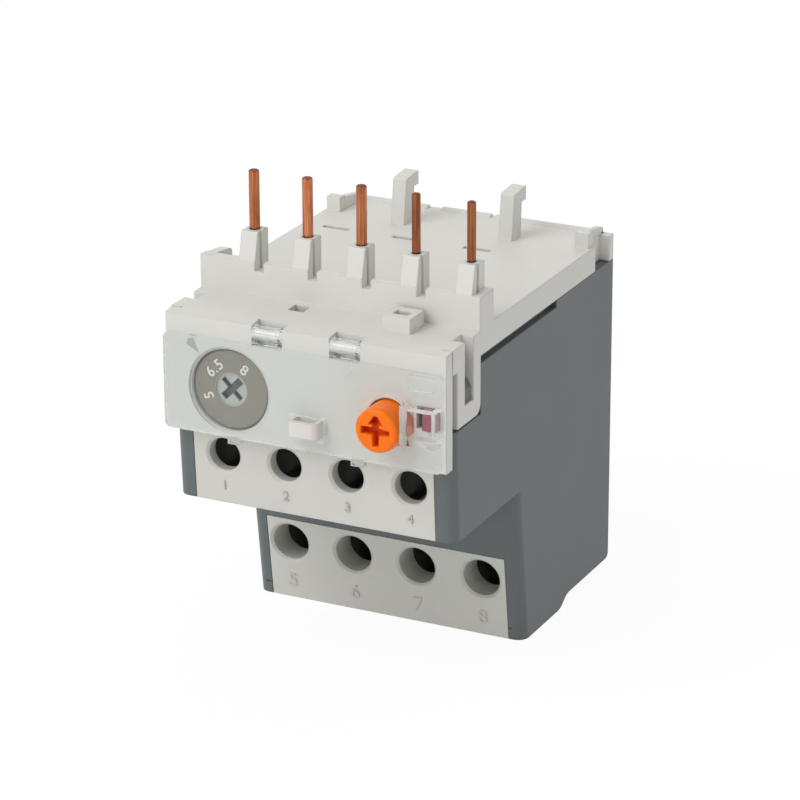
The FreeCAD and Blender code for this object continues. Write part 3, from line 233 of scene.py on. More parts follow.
def moulded(name, colour, rough=0.45, grain=0.012, grain_size=0.22, worn=1.06, edge=0.22):
    """Moulded plastic: faint mottling, fine eroded grain, and edges a little paler and rounder."""
    finish = Finish(name, IOR=1.5)
    cloud = finish.noise(90.0, detail=4.0)
    speck = finish.noise(2600.0, detail=2.0)
    rounded = finish.edges(edge * MM)
    wear = finish.wear(rounded)
    mottled = finish.between(cloud, tint(colour, 0.955), tint(colour, 1.035))
    dusted = finish.between(finish.rise(speck, 0.62, 0.78) * 0.35, mottled, tint(colour, 1.1))
    finish.set(
        Base_Color=finish.between(wear * 0.55, dusted, tint(colour, worn)),
        Roughness=rough + 0.10 * (cloud - 0.5) - 0.08 * wear,
        Normal=finish.relief(
            finish.cells(1.0 / (grain_size * MM)) + 0.6 * finish.noise(1.4 / (grain_size * MM)),
            grain * MM, rounded))
    return finish.material


def drawn_copper(name, colour, dark, tip_level):
    """Bare drawn wire: fine streaks along its length, stained patches and a dull cut end."""
    finish = Finish(name, Metallic=1.0)
    across = finish.noise(4200.0, detail=2.0, place=finish.stretched((1.0, 1.0, 0.03)))
    stain = finish.noise(420.0, detail=5.0, rough=0.65, place=finish.stretched((1.0, 1.0, 0.3)))
    rounded = finish.edges(0.08 * MM)
    level = finish.axes()[2]
    cut = finish.rise(level, tip_level - 0.25 * MM, tip_level)
    streaked = finish.between(
        finish.rise(across, 0.35, 0.65), tint(colour, 0.72), tint(colour, 1.3))
    stained = finish.between(finish.rise(stain, 0.5, 0.72) * 0.75, streaked, dark)
    finish.set(
        Base_Color=finish.between(cut * 0.8, stained, tint(dark, 0.55)),
        Roughness=0.26 + 0.20 * stain + 0.2 * cut,
        Normal=finish.relief(across, 0.006 * MM, rounded))
    return finish.material


def plated(name, colour, rough=0.3):
    """Zinc or nickel plate over stamped metal: cloudy lustre and a fine orange-peel bump."""
    finish = Finish(name, Metallic=1.0)
    cloud = finish.noise(700.0, detail=4.0, rough=0.6)
    peel = finish.noise(4200.0, detail=2.0)
    rounded = finish.edges(0.1 * MM)
    wear = finish.wear(rounded)
    clouded = finish.between(cloud, tint(colour, 0.82), tint(colour, 1.12))
    finish.set(
        Base_Color=finish.between(wear * 0.6, clouded, tint(colour, 1.25)),
        Roughness=rough + 0.25 * (cloud - 0.5),
        Normal=finish.relief(peel, 0.005 * MM, rounded))
    return finish.material


def rolled(name, colour, rough, scale):
    """Rolled strip: long brush lines along one axis and slightly tarnished clouds."""
    finish = Finish(name, Metallic=1.0)
    lines = finish.noise(6000.0, detail=2.0, place=finish.stretched(scale))
    tarnish = finish.noise(260.0, detail=5.0, rough=0.6)
    rounded = finish.edges(0.08 * MM)
    lined = finish.between(lines, tint(colour, 0.85), tint(colour, 1.15))
    finish.set(
        Base_Color=finish.between(finish.rise(tarnish, 0.45, 0.8) * 0.4, lined, tint(colour, 0.7)),
        Roughness=rough + 0.15 * tarnish,
        Normal=finish.relief(lines, 0.006 * MM, rounded))
    return finish.material


def woven(name, colour):
    """Woven glass sleeve: crossing diagonal threads round the strip."""
    finish = Finish(name)
    east, _, up = finish.axes()
    pitch = 0.45 * MM
    warp = finish.math("SINE", (up + east) * (2.0 * math.pi / pitch))
    weft = finish.math("SINE", (up - east) * (2.0 * math.pi / pitch))
    weave = finish.rise(warp * weft, -0.6, 0.6)
    finish.set(
        Base_Color=finish.between(weave, tint(colour, 0.72), tint(colour, 1.06)),
        Roughness=0.85 - 0.1 * weave,
        Normal=finish.relief(weave, 0.06 * MM))
    return finish.material


def clear_moulding(name, colour):
    """Clear polycarbonate with faint flow lines. Lamps shine through it undimmed."""
    finish = Finish(name, Base_Color=colour, IOR=1.24, Transmission_Weight=1.0,
                    Coat_Weight=0.4, Coat_IOR=1.5, Coat_Roughness=0.05)
    flow = finish.noise(160.0, detail=3.0, place=finish.stretched((1.0, 1.0, 0.35)))
    scuff = finish.noise(1800.0, detail=4.0, rough=0.7)
    finish.set(
        Roughness=0.03 + 0.10 * finish.rise(scuff, 0.6, 0.85),
        Normal=finish.relief(flow, 0.008 * MM))
    clear = finish.node("ShaderNodeBsdfTransparent", None, {"Color": (0.95, 0.96, 0.96)})
    finish.surface(finish.node("ShaderNodeMixShader", None, {
        0: finish.rays("Shadow", "Diffuse"), 1: finish.shader, 2: clear}))
    return finish.material


def dial_face(name, colours, middle, face, hub_radius):
    """The dial: taupe ring with fine turning lines, grey hub, painted shade deep in its cross
    slot, and red rim dots.
    """
    finish = Finish(name, IOR=1.5)
    east, back, up = finish.axes()
    x = east - middle[0]
    z = up - middle[1]
    radius = finish.math("SQRT", x * x + z * z)
    cloud = finish.noise(240.0, detail=4.0)
    ring = finish.between(cloud, tint(colours["ring"], 0.94), tint(colours["ring"], 1.05))
    hub = finish.rise(radius, hub_radius + 0.06 * MM, hub_radius - 0.06 * MM)
    # Painted shade: from 0.45 mm behind the face, inside the hub, the grey turns to the dark slot
    # colour, standing in for the shade down the cross slot.
    deep = finish.rise(back, face + 0.45 * MM, face + 0.7 * MM)
    hubbed = finish.between(hub, ring, colours["hub"])
    painted = finish.between(deep * hub, hubbed, colours["slot"])
    for turn, reach, dot_radius in DIAL_DOTS:
        dot_x = x - reach * MM * math.cos(math.radians(turn))
        dot_z = z - reach * MM * math.sin(math.radians(turn))
        gap = finish.math("SQRT", dot_x * dot_x + dot_z * dot_z)
        dot = finish.rise(gap, (dot_radius + 0.08) * MM, (dot_radius - 0.08) * MM)
        painted = finish.between(dot * 0.75, painted, colours["dot"])
    rounded = finish.edges(0.15 * MM)
    turned = finish.math("SINE", radius * (2.0 * math.pi / (0.16 * MM)))
    speck = finish.cells(1.0 / (0.18 * MM))
    finish.set(
        Base_Color=painted,
        Roughness=0.42 + 0.12 * (cloud - 0.5),
        Normal=finish.relief(speck + 0.25 * turned, 0.006 * MM, rounded))
    return finish.material


def slotted_gloss(name, colour, slot_shade_colour, middle, face, slot_radius):
    """Glossy coloured plastic whose cross slot is painted a deeper red-orange with depth, as
    painted shade and painted bounced light down the slot.
    """
    finish = Finish(name, IOR=1.5, Specular_IOR_Level=0.25)
    east, back, up = finish.axes()
    x = east - middle[0]
    z = up - middle[1]
    radius = finish.math("SQRT", x * x + z * z)
    cloud = finish.noise(300.0, detail=3.0)
    inside = finish.rise(radius, slot_radius + 0.05 * MM, slot_radius - 0.05 * MM)
    # Painted shade: deep rises with depth inside the slot's radius and turns the orange to the
    # slot-shade colour.
    deep = finish.rise(back, face + 0.1 * MM, face + 1.1 * MM) * inside
    body = finish.between(cloud, tint(colour, 0.95), tint(colour, 1.04))
    finish.set(
        Base_Color=finish.between(deep, body, slot_shade_colour),
        Roughness=0.28 + 0.08 * cloud,
        Normal=finish.relief(finish.noise(2400.0), 0.006 * MM, finish.edges(0.18 * MM)))
    return finish.material


def printed_ink(name, colour, rough=0.5):
    """Pad-printed ink: a slightly uneven film."""
    finish = Finish(name)
    patch = finish.noise(2200.0, detail=4.0, rough=0.6)
    finish.set(
        Base_Color=finish.between(patch, tint(colour, 0.92), tint(colour, 1.04)),
        Roughness=rough + 0.1 * patch,
        Normal=finish.relief(patch, 0.003 * MM))
    return finish.material


def studio_floor(name, colour, share):
    """A pale floor that shows white to the camera and in reflections, and keeps its shadow."""
    finish = Finish(name, Base_Color=colour, Roughness=0.9)
    finish.set(Normal=finish.relief(finish.noise(120.0), 0.05 * MM))
    white = finish.node("ShaderNodeEmission", None, {"Color": (1.0, 1.0, 1.0), "Strength": 1.03})
    finish.surface(finish.node("ShaderNodeMixShader", None, {
        0: finish.rays("Camera", "Glossy", "Transmission") * share,
        1: finish.shader, 2: white}))
    return finish.material


# ------------------------------------------------------------------ meshes

def grid_surface(name, points, wrap_u=False, wrap_v=False):
    """A mesh on a grid of points, quads between neighbours, closed round u or v if asked."""
    rows, columns = points.shape[:2]
    mesh = bpy.data.meshes.new(name)
    row = np.arange(rows if wrap_u else rows - 1)[:, None]
    column = np.arange(columns if wrap_v else columns - 1)[None, :]
    next_row = (row + 1) % rows
    next_column = (column + 1) % columns
    corners = np.stack(np.broadcast_arrays(
        row * columns + column, row * columns + next_column,
        next_row * columns + next_column, next_row * columns + column), axis=-1)
    mesh.from_pydata(points.reshape(-1, 3).tolist(), [], corners.reshape(-1, 4).tolist())
    mesh.update()
    return mesh


def show(name, mesh, body, material, smooth=True):
    """Put a finished mesh in the scene on a body, with its material."""
    piece = bpy.data.objects.new(name, mesh)
    bpy.context.scene.collection.objects.link(piece)
    mesh.materials.clear()
    mesh.materials.append(material)
    mesh.polygons.foreach_set("use_smooth", [smooth] * len(mesh.polygons))
    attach(piece, body)
    return piece


def dress(material, *names):
    """Give carried-over CAD nodes a material."""
    for name in names:
        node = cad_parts[name]
        node.data.materials.clear()
        node.data.materials.append(material)


def landing(name, x, z):
    """The point and outward normal where a line along +Y meets a node's front."""
    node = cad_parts[name]
    graph = bpy.context.evaluated_depsgraph_get()
    tree = BVHTree.FromObject(node, graph)
    point, normal, _, _ = tree.ray_cast(Vector((x, -1.0, z)), Vector((0.0, 1.0, 0.0)))
    return point, normal if normal.y < 0 else -normal


def lettering(text, height, thickness, bold=0.0, spacing=1.0):
    """Plain numerals as a mesh in the XY plane, centred, of a given height and thickness."""
    curve = bpy.data.curves.new(text, "FONT")
    curve.body = text
    curve.size = height / DIGIT_SHARE
    curve.space_character = spacing
    curve.align_x, curve.align_y = "CENTER", "CENTER"
    curve.extrude = thickness / 2
    curve.bevel_depth = min(thickness * 0.3, height * 0.012)
    curve.offset = bold * height
    curve.resolution_u = 6
    holder = bpy.data.objects.new(text, curve)
    bpy.context.scene.collection.objects.link(holder)
    graph = bpy.context.evaluated_depsgraph_get()
    mesh = bpy.data.meshes.new_from_object(holder.evaluated_get(graph))
    bpy.data.objects.remove(holder)
    bpy.data.curves.remove(curve)
    low = np.array([v.co for v in mesh.vertices]).min(0)
    high = np.array([v.co for v in mesh.vertices]).max(0)
    mesh.transform(Matrix.Translation(-Vector((low + high) / 2)))
    return mesh


def laid_on(mesh, point, normal, turn=0.0):
    """Turn a mesh from the XY plane onto a front face, its top up and its face outwards."""
    out = Vector(normal).normalized()
    across = Vector((0.0, 0.0, 1.0)).cross(out).normalized()
    up = out.cross(across)
    basis = Matrix((across, up, out)).transposed().to_4x4()
    mesh.transform(Matrix.Translation(point) @ basis @ Matrix.Rotation(turn, 4, "Z"))
    return mesh


def joined(name, meshes):
    """Several meshes as one."""
    whole = bmesh.new()
    for mesh in meshes:
        whole.from_mesh(mesh)
        bpy.data.meshes.remove(mesh)
    result = bpy.data.meshes.new(name)
    whole.to_mesh(result)
    whole.free()
    return result


def facing_out(mesh, merge=0.0):
    """Turn a closed mesh's faces outwards, after joining points within the merge distance."""
    whole = bmesh.new()
    whole.from_mesh(mesh)
    if merge:
        bmesh.ops.remove_doubles(whole, verts=whole.verts, dist=merge)
    bmesh.ops.recalc_face_normals(whole, faces=whole.faces)
    whole.to_mesh(mesh)
    whole.free()
    return mesh


def coil(name, middle, near, far, mean_radius, wire_radius, turns, closed_turns):
    """A compression spring of round wire as one tube.

    The wire's middle line is a helix about +Y. Its advance per turn is the wire's width over the
    closed end turns and even between, and a circle square to the line is carried along it.
    """
    steps, sides = int(turns * 40), 12
    angle = np.linspace(0.0, 2.0 * math.pi * turns, steps)
    turn = angle / (2.0 * math.pi)
    free = np.clip((turn - closed_turns) / (turns - 2.0 * closed_turns), 0.0, 1.0)
    dead = np.clip(turn, 0, closed_turns) + np.clip(turn - (turns - closed_turns), 0, closed_turns)
    first = near + wire_radius
    last = far - wire_radius
    closing = 2.0 * wire_radius
    run = (last - first) - 2.0 * closed_turns * closing
    line = np.stack([
        middle[0] + mean_radius * np.cos(angle),
        first + dead * closing + free * run,
        middle[1] + mean_radius * np.sin(angle)], axis=-1)
    along = np.gradient(line, axis=0)
    along /= np.linalg.norm(along, axis=1, keepdims=True)
    outward = np.stack([np.cos(angle), np.zeros(steps), np.sin(angle)], axis=-1)
    beside = np.cross(along, outward)
    ring = np.linspace(0.0, 2.0 * math.pi, sides, endpoint=False)
    size = np.ones(steps)
    size[0] = size[-1] = 1e-3
    points = line[:, None, :] + wire_radius * size[:, None, None] * (
        np.cos(ring)[None, :, None] * outward[:, None, :]
        + np.sin(ring)[None, :, None] * beside[:, None, :])
    return grid_surface(name, points, wrap_v=True)


def inside(x, z, corners):
    """How far points lie inside a convex outline, given anticlockwise; negative outside."""
    depth = np.full_like(x, np.inf)
    for (x0, z0), (x1, z1) in zip(corners, corners[1:] + corners[:1]):
        run = math.hypot(x1 - x0, z1 - z0)
        depth = np.minimum(depth, ((x1 - x0) * (z - z0) - (z1 - z0) * (x - x0)) / run)
    return depth


def slotted_knob(name, middle, face, rear, radius, rim, arms, slot_depth, socket):
    """A knob turned about Y with a sunk cross in its face and a socket behind.

    Each point is its ring's radius and depth at an angle. On the face, the depth grows by a
    smooth step of how far the point lies inside the nearest of the cross's convex arms. The rim
    is a quarter circle, and the socket is a plain round step.
    """
    face_rings, deep = 150, rear - face
    flat = np.linspace(0.0, radius - rim, face_rings)
    bend = np.linspace(0.0, math.pi / 2.0, 10)[1:]
    ring = np.concatenate([
        flat, radius - rim + rim * np.sin(bend), np.linspace(1.0, KNOB_FLARE, 12) * radius,
        [socket, socket, 0.0]])
    depth = np.concatenate([
        np.zeros(face_rings), rim - rim * np.cos(bend), np.linspace(rim, deep, 13)[1:],
        [deep, deep * 0.5, deep * 0.5]])
    angle = np.linspace(0.0, 2.0 * math.pi, 288, endpoint=False)
    x = ring[:, None] * np.cos(angle)
    z = ring[:, None] * np.sin(angle)
    sunk = np.max([inside(x, z, arm) for arm in arms], axis=0)
    step = np.clip(sunk / (0.14 * MM), 0.0, 1.0)
    step = step * step * (3.0 - 2.0 * step)
    on_face = (np.arange(len(ring)) < face_rings)[:, None]
    y = face + depth[:, None] + slot_depth * step * on_face
    points = np.stack([middle[0] + x, y, middle[1] + z], axis=-1)
    return facing_out(grid_surface(name, points, wrap_v=True), merge=1e-7)


def bar(name, outline, start, end):
    """A solid carried straight along X: its outline of (y, z) corners at both ends, with caps."""
    near = [(start, y, z) for y, z in outline]
    far = [(end, y, z) for y, z in outline]
    count = len(outline)
    sides = [(i, (i + 1) % count, count + (i + 1) % count, count + i) for i in range(count)]
    mesh = bpy.data.meshes.new(name)
    mesh.from_pydata(near + far, [], sides + [
        tuple(range(count))[::-1], tuple(range(count, 2 * count))])
    return facing_out(mesh)


# ------------------------------------------------------------------ settings

def length(name, description, millimetres):
    """A size setting kept in metres."""
    return bpy.props.FloatProperty(
        name=name, description=description, default=millimetres * MM, min=0.0,
        unit="LENGTH", precision=5)


def colour(name, description, levels):
    """A colour setting from display levels."""
    return bpy.props.FloatVectorProperty(
        name=name, description=description, subtype="COLOR", size=3, min=0.0, max=1.0,
        default=shade(*levels))


class RelaySizes(bpy.types.PropertyGroup):
    """Sizes of the printed and moulded marks and of the spring wire."""

    dial_numeral: length("Dial numeral", "Height of the dial's numerals", 1.65)
    dial_numeral_reach: length("Numeral reach", "From the dial's middle to its numerals", 3.95)
    hub_radius: length("Dial hub", "Radius of the dial's grey hub", 2.6)
    upper_numeral: length("Upper numeral", "Height of the upper terminals' numbers", 1.5)
    lower_numeral: length("Lower numeral", "Height of the lower terminals' numbers", 2.4)
    emboss: length("Emboss", "How far moulded numbers stand proud", 0.16)
    spring_wire: length("Spring wire", "Radius of the reset spring's wire", 0.2)


class RelayColours(bpy.types.PropertyGroup):
    """Colours of the relay's plastics, metals and inks."""

    light: colour("Light body", "Top cover", (218, 217, 211))
    plate: colour("Plates", "Terminal plates", (208, 207, 200))
    dark: colour("Dark body", "Main housing", (95, 102, 103))
    inner: colour("Inner parts", "Mechanism frame", (205, 200, 184))
    clear: colour("Clear cover", "Clear cover", (246, 248, 248))
    dial: colour("Dial", "Dial ring", (141, 136, 124))
    hub: colour("Hub", "Dial hub", (182, 186, 180))
    # The dial's slot colour is painted shade down its cross slot, not a colour of its own.
    dial_slot: colour("Dial slot", "Dial's cross slot", (98, 102, 100))
    dot: colour("Dial dots", "Index dots on the dial's rim", (165, 85, 65))
    cream: colour("Numeral ink", "Dial numerals", (238, 236, 226))
    pointer: colour("Pointer ink", "Setting pointer on the panel", (176, 176, 171))
    orange: colour("Reset button", "Reset button", (255, 118, 0))
    # The reset slot colour is painted shade and bounced light down the button's cross slot.
    reset_slot_shade: colour("Reset slot", "Reset button's slot", (222, 74, 0))
    violet: colour("Test slider", "Test slider", (150, 60, 82))
    copper: colour("Copper", "Line conductors", (178, 112, 76))
    stained: colour("Stained copper", "Darker patches on copper", (140, 66, 44))
    zinc: colour("Zinc", "Screws and clamps", (196, 198, 196))
    brass: colour("Brass", "Rails and bridges", (206, 168, 96))
    steel: colour("Spring steel", "Springs and bimetal strips", (170, 170, 168))
    sleeve: colour("Sleeve", "Woven glass sleeve", (226, 220, 200))


def sizes():
    """The scene's size settings."""
    return bpy.context.scene.relay_sizes


def middle_of(low, high):
    """The middle of a box as seen from the front: its x and z."""
    return (low.x + high.x) / 2, (low.z + high.z) / 2


def tone(name):
    """A colour setting as a plain tuple."""
    return tuple(getattr(bpy.context.scene.relay_colours, name))


# ------------------------------------------------------------------ operators

class HousingDress(bpy.types.Operator):
    """Give the dark housing, the light cover, the terminal blocks and the frame their plastics"""

    bl_idname = "relay.housing"
    bl_label = "Housing and covers"

    def execute(self, context):
        dress(moulded("dark_plastic", tone("dark"), rough=0.5, grain=0.02, grain_size=0.25,
                      worn=1.22), "main_housing")
        light = moulded("light_plastic", tone("light"), rough=0.42, edge=0.4)
        dress(light, "top_cover")
        plate = moulded("plate_plastic", tone("plate"), rough=0.46, edge=0.2)
        dress(plate, "aux_terminal_block", "main_terminal_block")
        dress(moulded("inner_plastic", tone("inner"), rough=0.55), "mechanism_frame")
        self.rear_edge(light)
        return {"FINISHED"}

    def rear_edge(self, light):
        """The low rim along the deck's rear edge and the webs from it to the rear posts."""
        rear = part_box("top_cover")[1].y
        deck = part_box("main_housing")[1].z + 4.1 * MM
        web, rim = ([(rear + y * MM, deck + z * MM) for y, z in outline] for outline in (
            ((-7.1, -0.1), (-0.1, -0.1), (-0.1, 0.7), (-0.6, 1.0), (-7.1, 2.1)),
            ((-1.5, -0.1), (-0.1, -0.1), (-0.1, 0.4), (-0.7, 0.35))))
        meshes = [bar("web", web, x * MM, (x + 1.2) * MM) for x in (-20.9, 19.7)]
        meshes += [bar("rim", rim, start * MM, end * MM) for start, end in (
            (-20.9, -8.3), (-6.1, 2.4), (2.9, 20.9))]
        edge = show("rear_edge", joined("rear_edge", meshes), "housing", light,
                    smooth=False)
        softened = edge.modifiers.new("softened", "BEVEL")
        softened.width = 0.12 * MM
        softened.segments = 2


class ClearCoverDress(bpy.types.Operator):
    """Give the hinged cover its clear plastic"""

    bl_idname = "relay.clear_cover"
    bl_label = "Clear cover"

    def execute(self, context):
        dress(clear_moulding("clear_plastic", tone("clear")), "clear_cover")
        return {"FINISHED"}


class DialDress(bpy.types.Operator):
    """Colour the setting dial and put plain numerals round it and a pointer on the panel"""

    bl_idname = "relay.dial"
    bl_label = "Setting dial"

    def execute(self, context):
        low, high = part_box("current_dial")
        middle, face = middle_of(low, high), low.y
        # The slot colour is painted shade for the dial's cross slot.
        paints = {"ring": tone("dial"), "hub": tone("hub"), "slot": tone("dial_slot"),
                  "dot": tone("dot")}
        dress(dial_face("dial_plastic", paints, middle, face, sizes().hub_radius), "current_dial")
        meshes = []
        for text, turn in DIAL_NUMERALS:
            angle = math.radians(turn)
            reach = sizes().dial_numeral_reach
            point = Vector((middle[0] + reach * math.cos(angle), face - 0.01 * MM,
                            middle[1] + reach * math.sin(angle)))
            mesh = lettering(text, sizes().dial_numeral, 0.05 * MM, bold=0.006, spacing=1.12)
            meshes.append(laid_on(mesh, point, (0.0, -1.0, 0.0), angle - math.pi / 2))
        show("dial_numerals", joined("dial_numerals", meshes), "current_dial",
             printed_ink("cream_ink", tone("cream")), smooth=False)
        self.pointer(middle)
        return {"FINISHED"}

    def pointer(self, middle):
        """A flat grey kite on the panel whose long point aims at the dial's middle."""
        outline = np.array([(0.0, -1.55), (0.8, 0.75), (0.0, 1.15), (-0.8, 0.75)]) * MM
        aim = math.radians(POINTER_TURN)
        reach = 8.45 * MM
        x = middle[0] + reach * math.cos(aim)
        z = middle[1] + reach * math.sin(aim)
        point, normal = landing("top_cover", x, z)
        mesh = bpy.data.meshes.new("panel_pointer")
        corners = [(px, pz, 0.0) for px, pz in outline]
        mesh.from_pydata(corners, [], [list(range(len(corners)))])
        laid_on(mesh, point + normal * 0.02 * MM, normal, aim - math.pi / 2)
        show("panel_pointer", mesh, "housing", printed_ink("pointer_ink", tone("pointer")),
             smooth=False)


class ResetDress(bpy.types.Operator):
    """Finish the reset button and its plunger, and wind the round-wire return spring"""

    bl_idname = "relay.reset"
    bl_label = "Reset button"

    def execute(self, context):
        self.knob()
        dress(moulded("plunger_plastic", tone("orange"), rough=0.35), "reset_plunger")
        self.spring()
        return {"FINISHED"}

    def knob(self):
        """The button with its rounded rim and the sunk cross, whose top arm is an arrow."""
        low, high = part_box("reset_button")
        middle = middle_of(low, high)
        radius = (high.x - low.x) / 2 / KNOB_FLARE
        unit = radius / KNOB_DRAWN_RADIUS
        rim, slot_depth, socket = 0.6 * MM, 1.5 * MM, 1.3 * MM
        arms = [[(x * unit, z * unit) for x, z in arm] for arm in KNOB_ARMS]
        mesh = slotted_knob("reset_knob", middle, low.y, high.y, radius, rim, arms, slot_depth,
                            socket)
        # The knob's slot is painted a deeper red-orange as shade and bounced light.
        knob = show("reset_knob", mesh, "reset_button", slotted_gloss(
            "orange_plastic", tone("orange"), tone("reset_slot_shade"), middle, low.y,
            radius - rim))
        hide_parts("reset_button")

    def spring(self):
        """The return spring, wound in round wire where the modelled spring stood, on the housing.
        """
        low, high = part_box("reset_spring")
        middle = middle_of(low, high)
        wire = sizes().spring_wire
        mesh = coil("return_spring", middle, low.y, high.y,
                    (high.x - low.x) / 2 - wire, wire, turns=7.0, closed_turns=1.0)
        spring = show("return_spring", mesh, "housing",
                      rolled("spring_steel", tone("steel"), 0.25, (1.0, 1.0, 1.0)))
        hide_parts("reset_spring")
        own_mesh(spring)


class SliderDress(bpy.types.Operator):
    """Give the test slider its violet plastic"""

    bl_idname = "relay.slider"
    bl_label = "Test slider"

    def execute(self, context):
        dress(moulded("violet_plastic", tone("violet"), rough=0.3), "test_slider")
        return {"FINISHED"}


class ConductorDress(bpy.types.Operator):
    """Give the plug pins and their leads bare drawn copper"""

    bl_idname = "relay.conductors"
    bl_label = "Conductors"

    def execute(self, context):
        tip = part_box("line_conductor_1")[1].z
        for i, share in ((1, 0.95), (2, 1.2), (3, 1.0)):
            dress(drawn_copper(f"copper_{i}", tint(tone("copper"), share), tone("stained"), tip),
                  f"line_conductor_{i}")
        dull = drawn_copper("stained_copper", tint(tone("copper"), 0.62), tone("stained"), tip)
        dress(dull, "coil_conductor", "control_conductor")
        return {"FINISHED"}


class TerminalDress(bpy.types.Operator):
    """Plate the clamps and screws, and give the rails their brass"""

    bl_idname = "relay.terminals"
    bl_label = "Terminals"

    def execute(self, context):
        zinc = plated("plated_steel", tone("zinc"))
        for i in range(1, 5):
            dress(zinc, f"main_clamp_{i}", f"aux_clamp_{i}", f"main_screw_{i}", f"aux_screw_{i}")
        brass = rolled("brass", tone("brass"), 0.3, (0.05, 1.0, 1.0))
        dress(brass, "load_rail_1", "load_rail_2", "load_rail_3", "control_rail",
              "break_rail_in", "break_rail_out", "make_rail_in", "make_rail_out")
        return {"FINISHED"}


class MechanismDress(bpy.types.Operator):
    """Finish the heaters, bimetal strips, trip parts and contacts inside"""

    bl_idname = "relay.mechanism"
    bl_label = "Trip mechanism"

    def execute(self, context):
        sleeve = woven("glass_sleeve", tone("sleeve"))
        strip = rolled("bimetal", tone("steel"), 0.32, (1.0, 1.0, 0.05))
        winding = rolled("heater_wire", tint(tone("steel"), 0.8), 0.38, (0.05, 1.0, 1.0))
        for i in range(1, 4):
            dress(sleeve, f"heater_sleeve_{i}")
            dress(strip, f"bimetal_strip_{i}")
            dress(winding, f"heater_winding_{i}")
        inner = moulded("lever_plastic", tone("inner"), rough=0.5)
        dress(inner, "trip_bar", "adjusting_slide", "trip_lever", "contact_carrier")
        dress(rolled("leaf_steel", tone("steel"), 0.25, (1.0, 1.0, 0.05)), "snap_spring")
        dress(rolled("contact_brass", tone("brass"), 0.28, (0.05, 1.0, 1.0)),
              "break_bridge", "make_bridge")
        return {"FINISHED"}


class NumberDress(bpy.types.Operator):
    """Mould plain numbers under the terminals"""

    bl_idname = "relay.numbers"
    bl_label = "Terminal numbers"

    def execute(self, context):
        self.row("upper_numbers", "aux_terminal_block", "aux_screw", 1, -4.75,
                 sizes().upper_numeral, tint(tone("plate"), 0.74))
        # The lower numbers are the plate's own plastic; their slightly darker tone is painted
        # shade. The upper numbers' grey is their ink.
        self.row("lower_numbers", "main_terminal_block", "main_screw", 5, -6.5,
                 sizes().lower_numeral, tint(tone("plate"), 0.9))
        return {"FINISHED"}

    def row(self, name, block, screw, first, drop, height, ink_and_shade_tone):
        """Four numbers, one under each terminal hole, standing proud of the block's front."""
        meshes = []
        for i in range(4):
            x, z = middle_of(*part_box(f"{screw}_{i + 1}"))
            point, normal = landing(block, x, z + drop * MM)
            mesh = lettering(str(first + i), height, sizes().emboss * 2)
            meshes.append(laid_on(mesh, point, normal))
        show(name, joined(name, meshes), "housing", moulded(name + "_plastic", ink_and_shade_tone, edge=0.05),
             smooth=False)


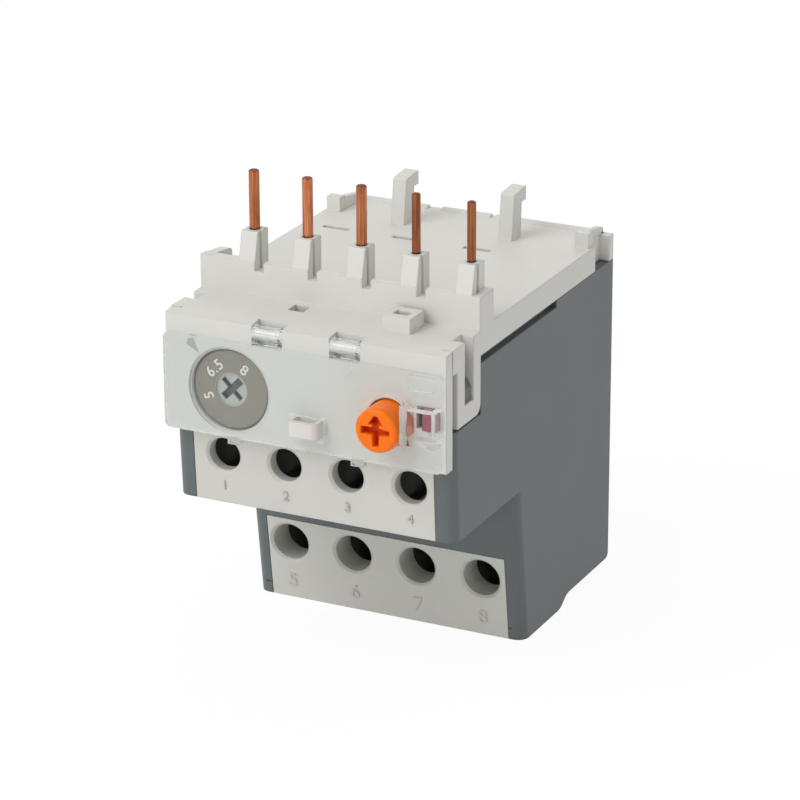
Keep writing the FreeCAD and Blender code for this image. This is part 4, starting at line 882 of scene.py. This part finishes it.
class StudioSetUp(bpy.types.Operator):
    """Lay a pale floor, hang soft lamps and aim the camera"""

    bl_idname = "relay.studio"
    bl_label = "Studio"

    def execute(self, context):
        self.floor()
        self.world(context.scene)
        for name, place, width, power in LAMPS:
            self.lamp(name, Vector(place), Vector((0.0, 0.0, 0.035)), width, power)
        self.camera(context.scene)
        return {"FINISHED"}

    def floor(self):
        """A square of floor, gently tiled so that its mesh isn't one face."""
        reach = np.linspace(-3.0, 3.0, 13)
        east, north = np.meshgrid(reach, reach)
        points = np.stack([east, north, np.full_like(east, -0.00002)], axis=-1)
        mesh = grid_surface("studio_floor", points)
        floor = bpy.data.objects.new("studio_floor", mesh)
        bpy.context.scene.collection.objects.link(floor)
        mesh.materials.append(studio_floor("floor_white", (0.88, 0.88, 0.88), 0.9))

    def world(self, scene):
        """Even light on the object, with white where the camera, gloss or glass look past it."""
        world = bpy.data.worlds.new("studio_world")
        world.use_nodes = True
        scene.world = world
        nodes, links = world.node_tree.nodes, world.node_tree.links
        nodes.clear()
        rays = nodes.new("ShaderNodeLightPath")
        seen = nodes.new("ShaderNodeMath")
        seen.operation = "MAXIMUM"
        seen_all = nodes.new("ShaderNodeMath")
        seen_all.operation = "MAXIMUM"
        links.new(rays.outputs["Is Camera Ray"], seen.inputs[0])
        links.new(rays.outputs["Is Glossy Ray"], seen.inputs[1])
        links.new(seen.outputs[0], seen_all.inputs[0])
        links.new(rays.outputs["Is Transmission Ray"], seen_all.inputs[1])
        strength = nodes.new("ShaderNodeMapRange")
        strength.inputs["To Min"].default_value = 0.5
        strength.inputs["To Max"].default_value = 1.0
        links.new(seen_all.outputs[0], strength.inputs["Value"])
        sky = nodes.new("ShaderNodeBackground")
        sky.inputs["Color"].default_value = (1.0, 1.0, 1.0, 1.0)
        links.new(strength.outputs[0], sky.inputs["Strength"])
        out = nodes.new("ShaderNodeOutputWorld")
        links.new(sky.outputs[0], out.inputs["Surface"])

    def lamp(self, name, place, aim, width, power):
        """A square soft lamp facing a point."""
        light = bpy.data.lights.new(name, "AREA")
        light.shape = "SQUARE"
        light.size = width
        light.energy = power
        lamp = bpy.data.objects.new(name, light)
        bpy.context.scene.collection.objects.link(lamp)
        lamp.location = place
        lamp.rotation_euler = (aim - place).to_track_quat("-Z", "Y").to_euler()

    def camera(self, scene):
        """A long-lens camera from the front right and above."""
        data = bpy.data.cameras.new("studio_camera")
        data.sensor_width, data.lens = 36.0, 169.94
        data.clip_start, data.clip_end = 0.05, 20.0
        camera = bpy.data.objects.new("studio_camera", data)
        scene.collection.objects.link(camera)
        place = Vector((0.23379, -0.47238, 0.23567))
        turn_z, turn_x, roll = (math.radians(angle) for angle in (26.16, 90.0 - 20.84, -0.21))
        turn = (Matrix.Rotation(turn_z, 3, "Z") @ Matrix.Rotation(turn_x, 3, "X")
                @ Matrix.Rotation(roll, 3, "Z"))
        camera.matrix_world = Matrix.Translation(place) @ turn.to_4x4()
        scene.camera = camera


# ------------------------------------------------------------------ add-on

OPERATORS = (HousingDress, ClearCoverDress, DialDress, ResetDress, SliderDress, ConductorDress,
             TerminalDress, MechanismDress, NumberDress, StudioSetUp)


class RelayPanel(bpy.types.Panel):
    """The relay's settings and steps in the 3D view's sidebar"""

    bl_idname = "VIEW3D_PT_relay"
    bl_label = "Overload relay"
    bl_space_type = "VIEW_3D"
    bl_region_type = "UI"
    bl_category = "Relay"

    def draw(self, context):
        for group in (context.scene.relay_sizes, context.scene.relay_colours):
            box = self.layout.box()
            for name in group.__annotations__:
                box.prop(group, name)
        for operator in OPERATORS:
            self.layout.operator(operator.bl_idname)


CLASSES = (RelaySizes, RelayColours, *OPERATORS, RelayPanel)


def register():
    for cls in CLASSES:
        bpy.utils.register_class(cls)
    bpy.types.Scene.relay_sizes = bpy.props.PointerProperty(type=RelaySizes)
    bpy.types.Scene.relay_colours = bpy.props.PointerProperty(type=RelayColours)


def unregister():
    del bpy.types.Scene.relay_colours
    del bpy.types.Scene.relay_sizes
    for cls in reversed(CLASSES):
        bpy.utils.unregister_class(cls)


def main():
    """Register the add-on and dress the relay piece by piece."""
    register()
    bpy.context.scene.view_settings.view_transform = "Standard"
    for step in (bpy.ops.relay.housing, bpy.ops.relay.clear_cover, bpy.ops.relay.dial,
                 bpy.ops.relay.reset, bpy.ops.relay.slider, bpy.ops.relay.conductors,
                 bpy.ops.relay.terminals, bpy.ops.relay.mechanism, bpy.ops.relay.numbers,
                 bpy.ops.relay.studio):
        step()


if __name__ == "__main__":
    main()
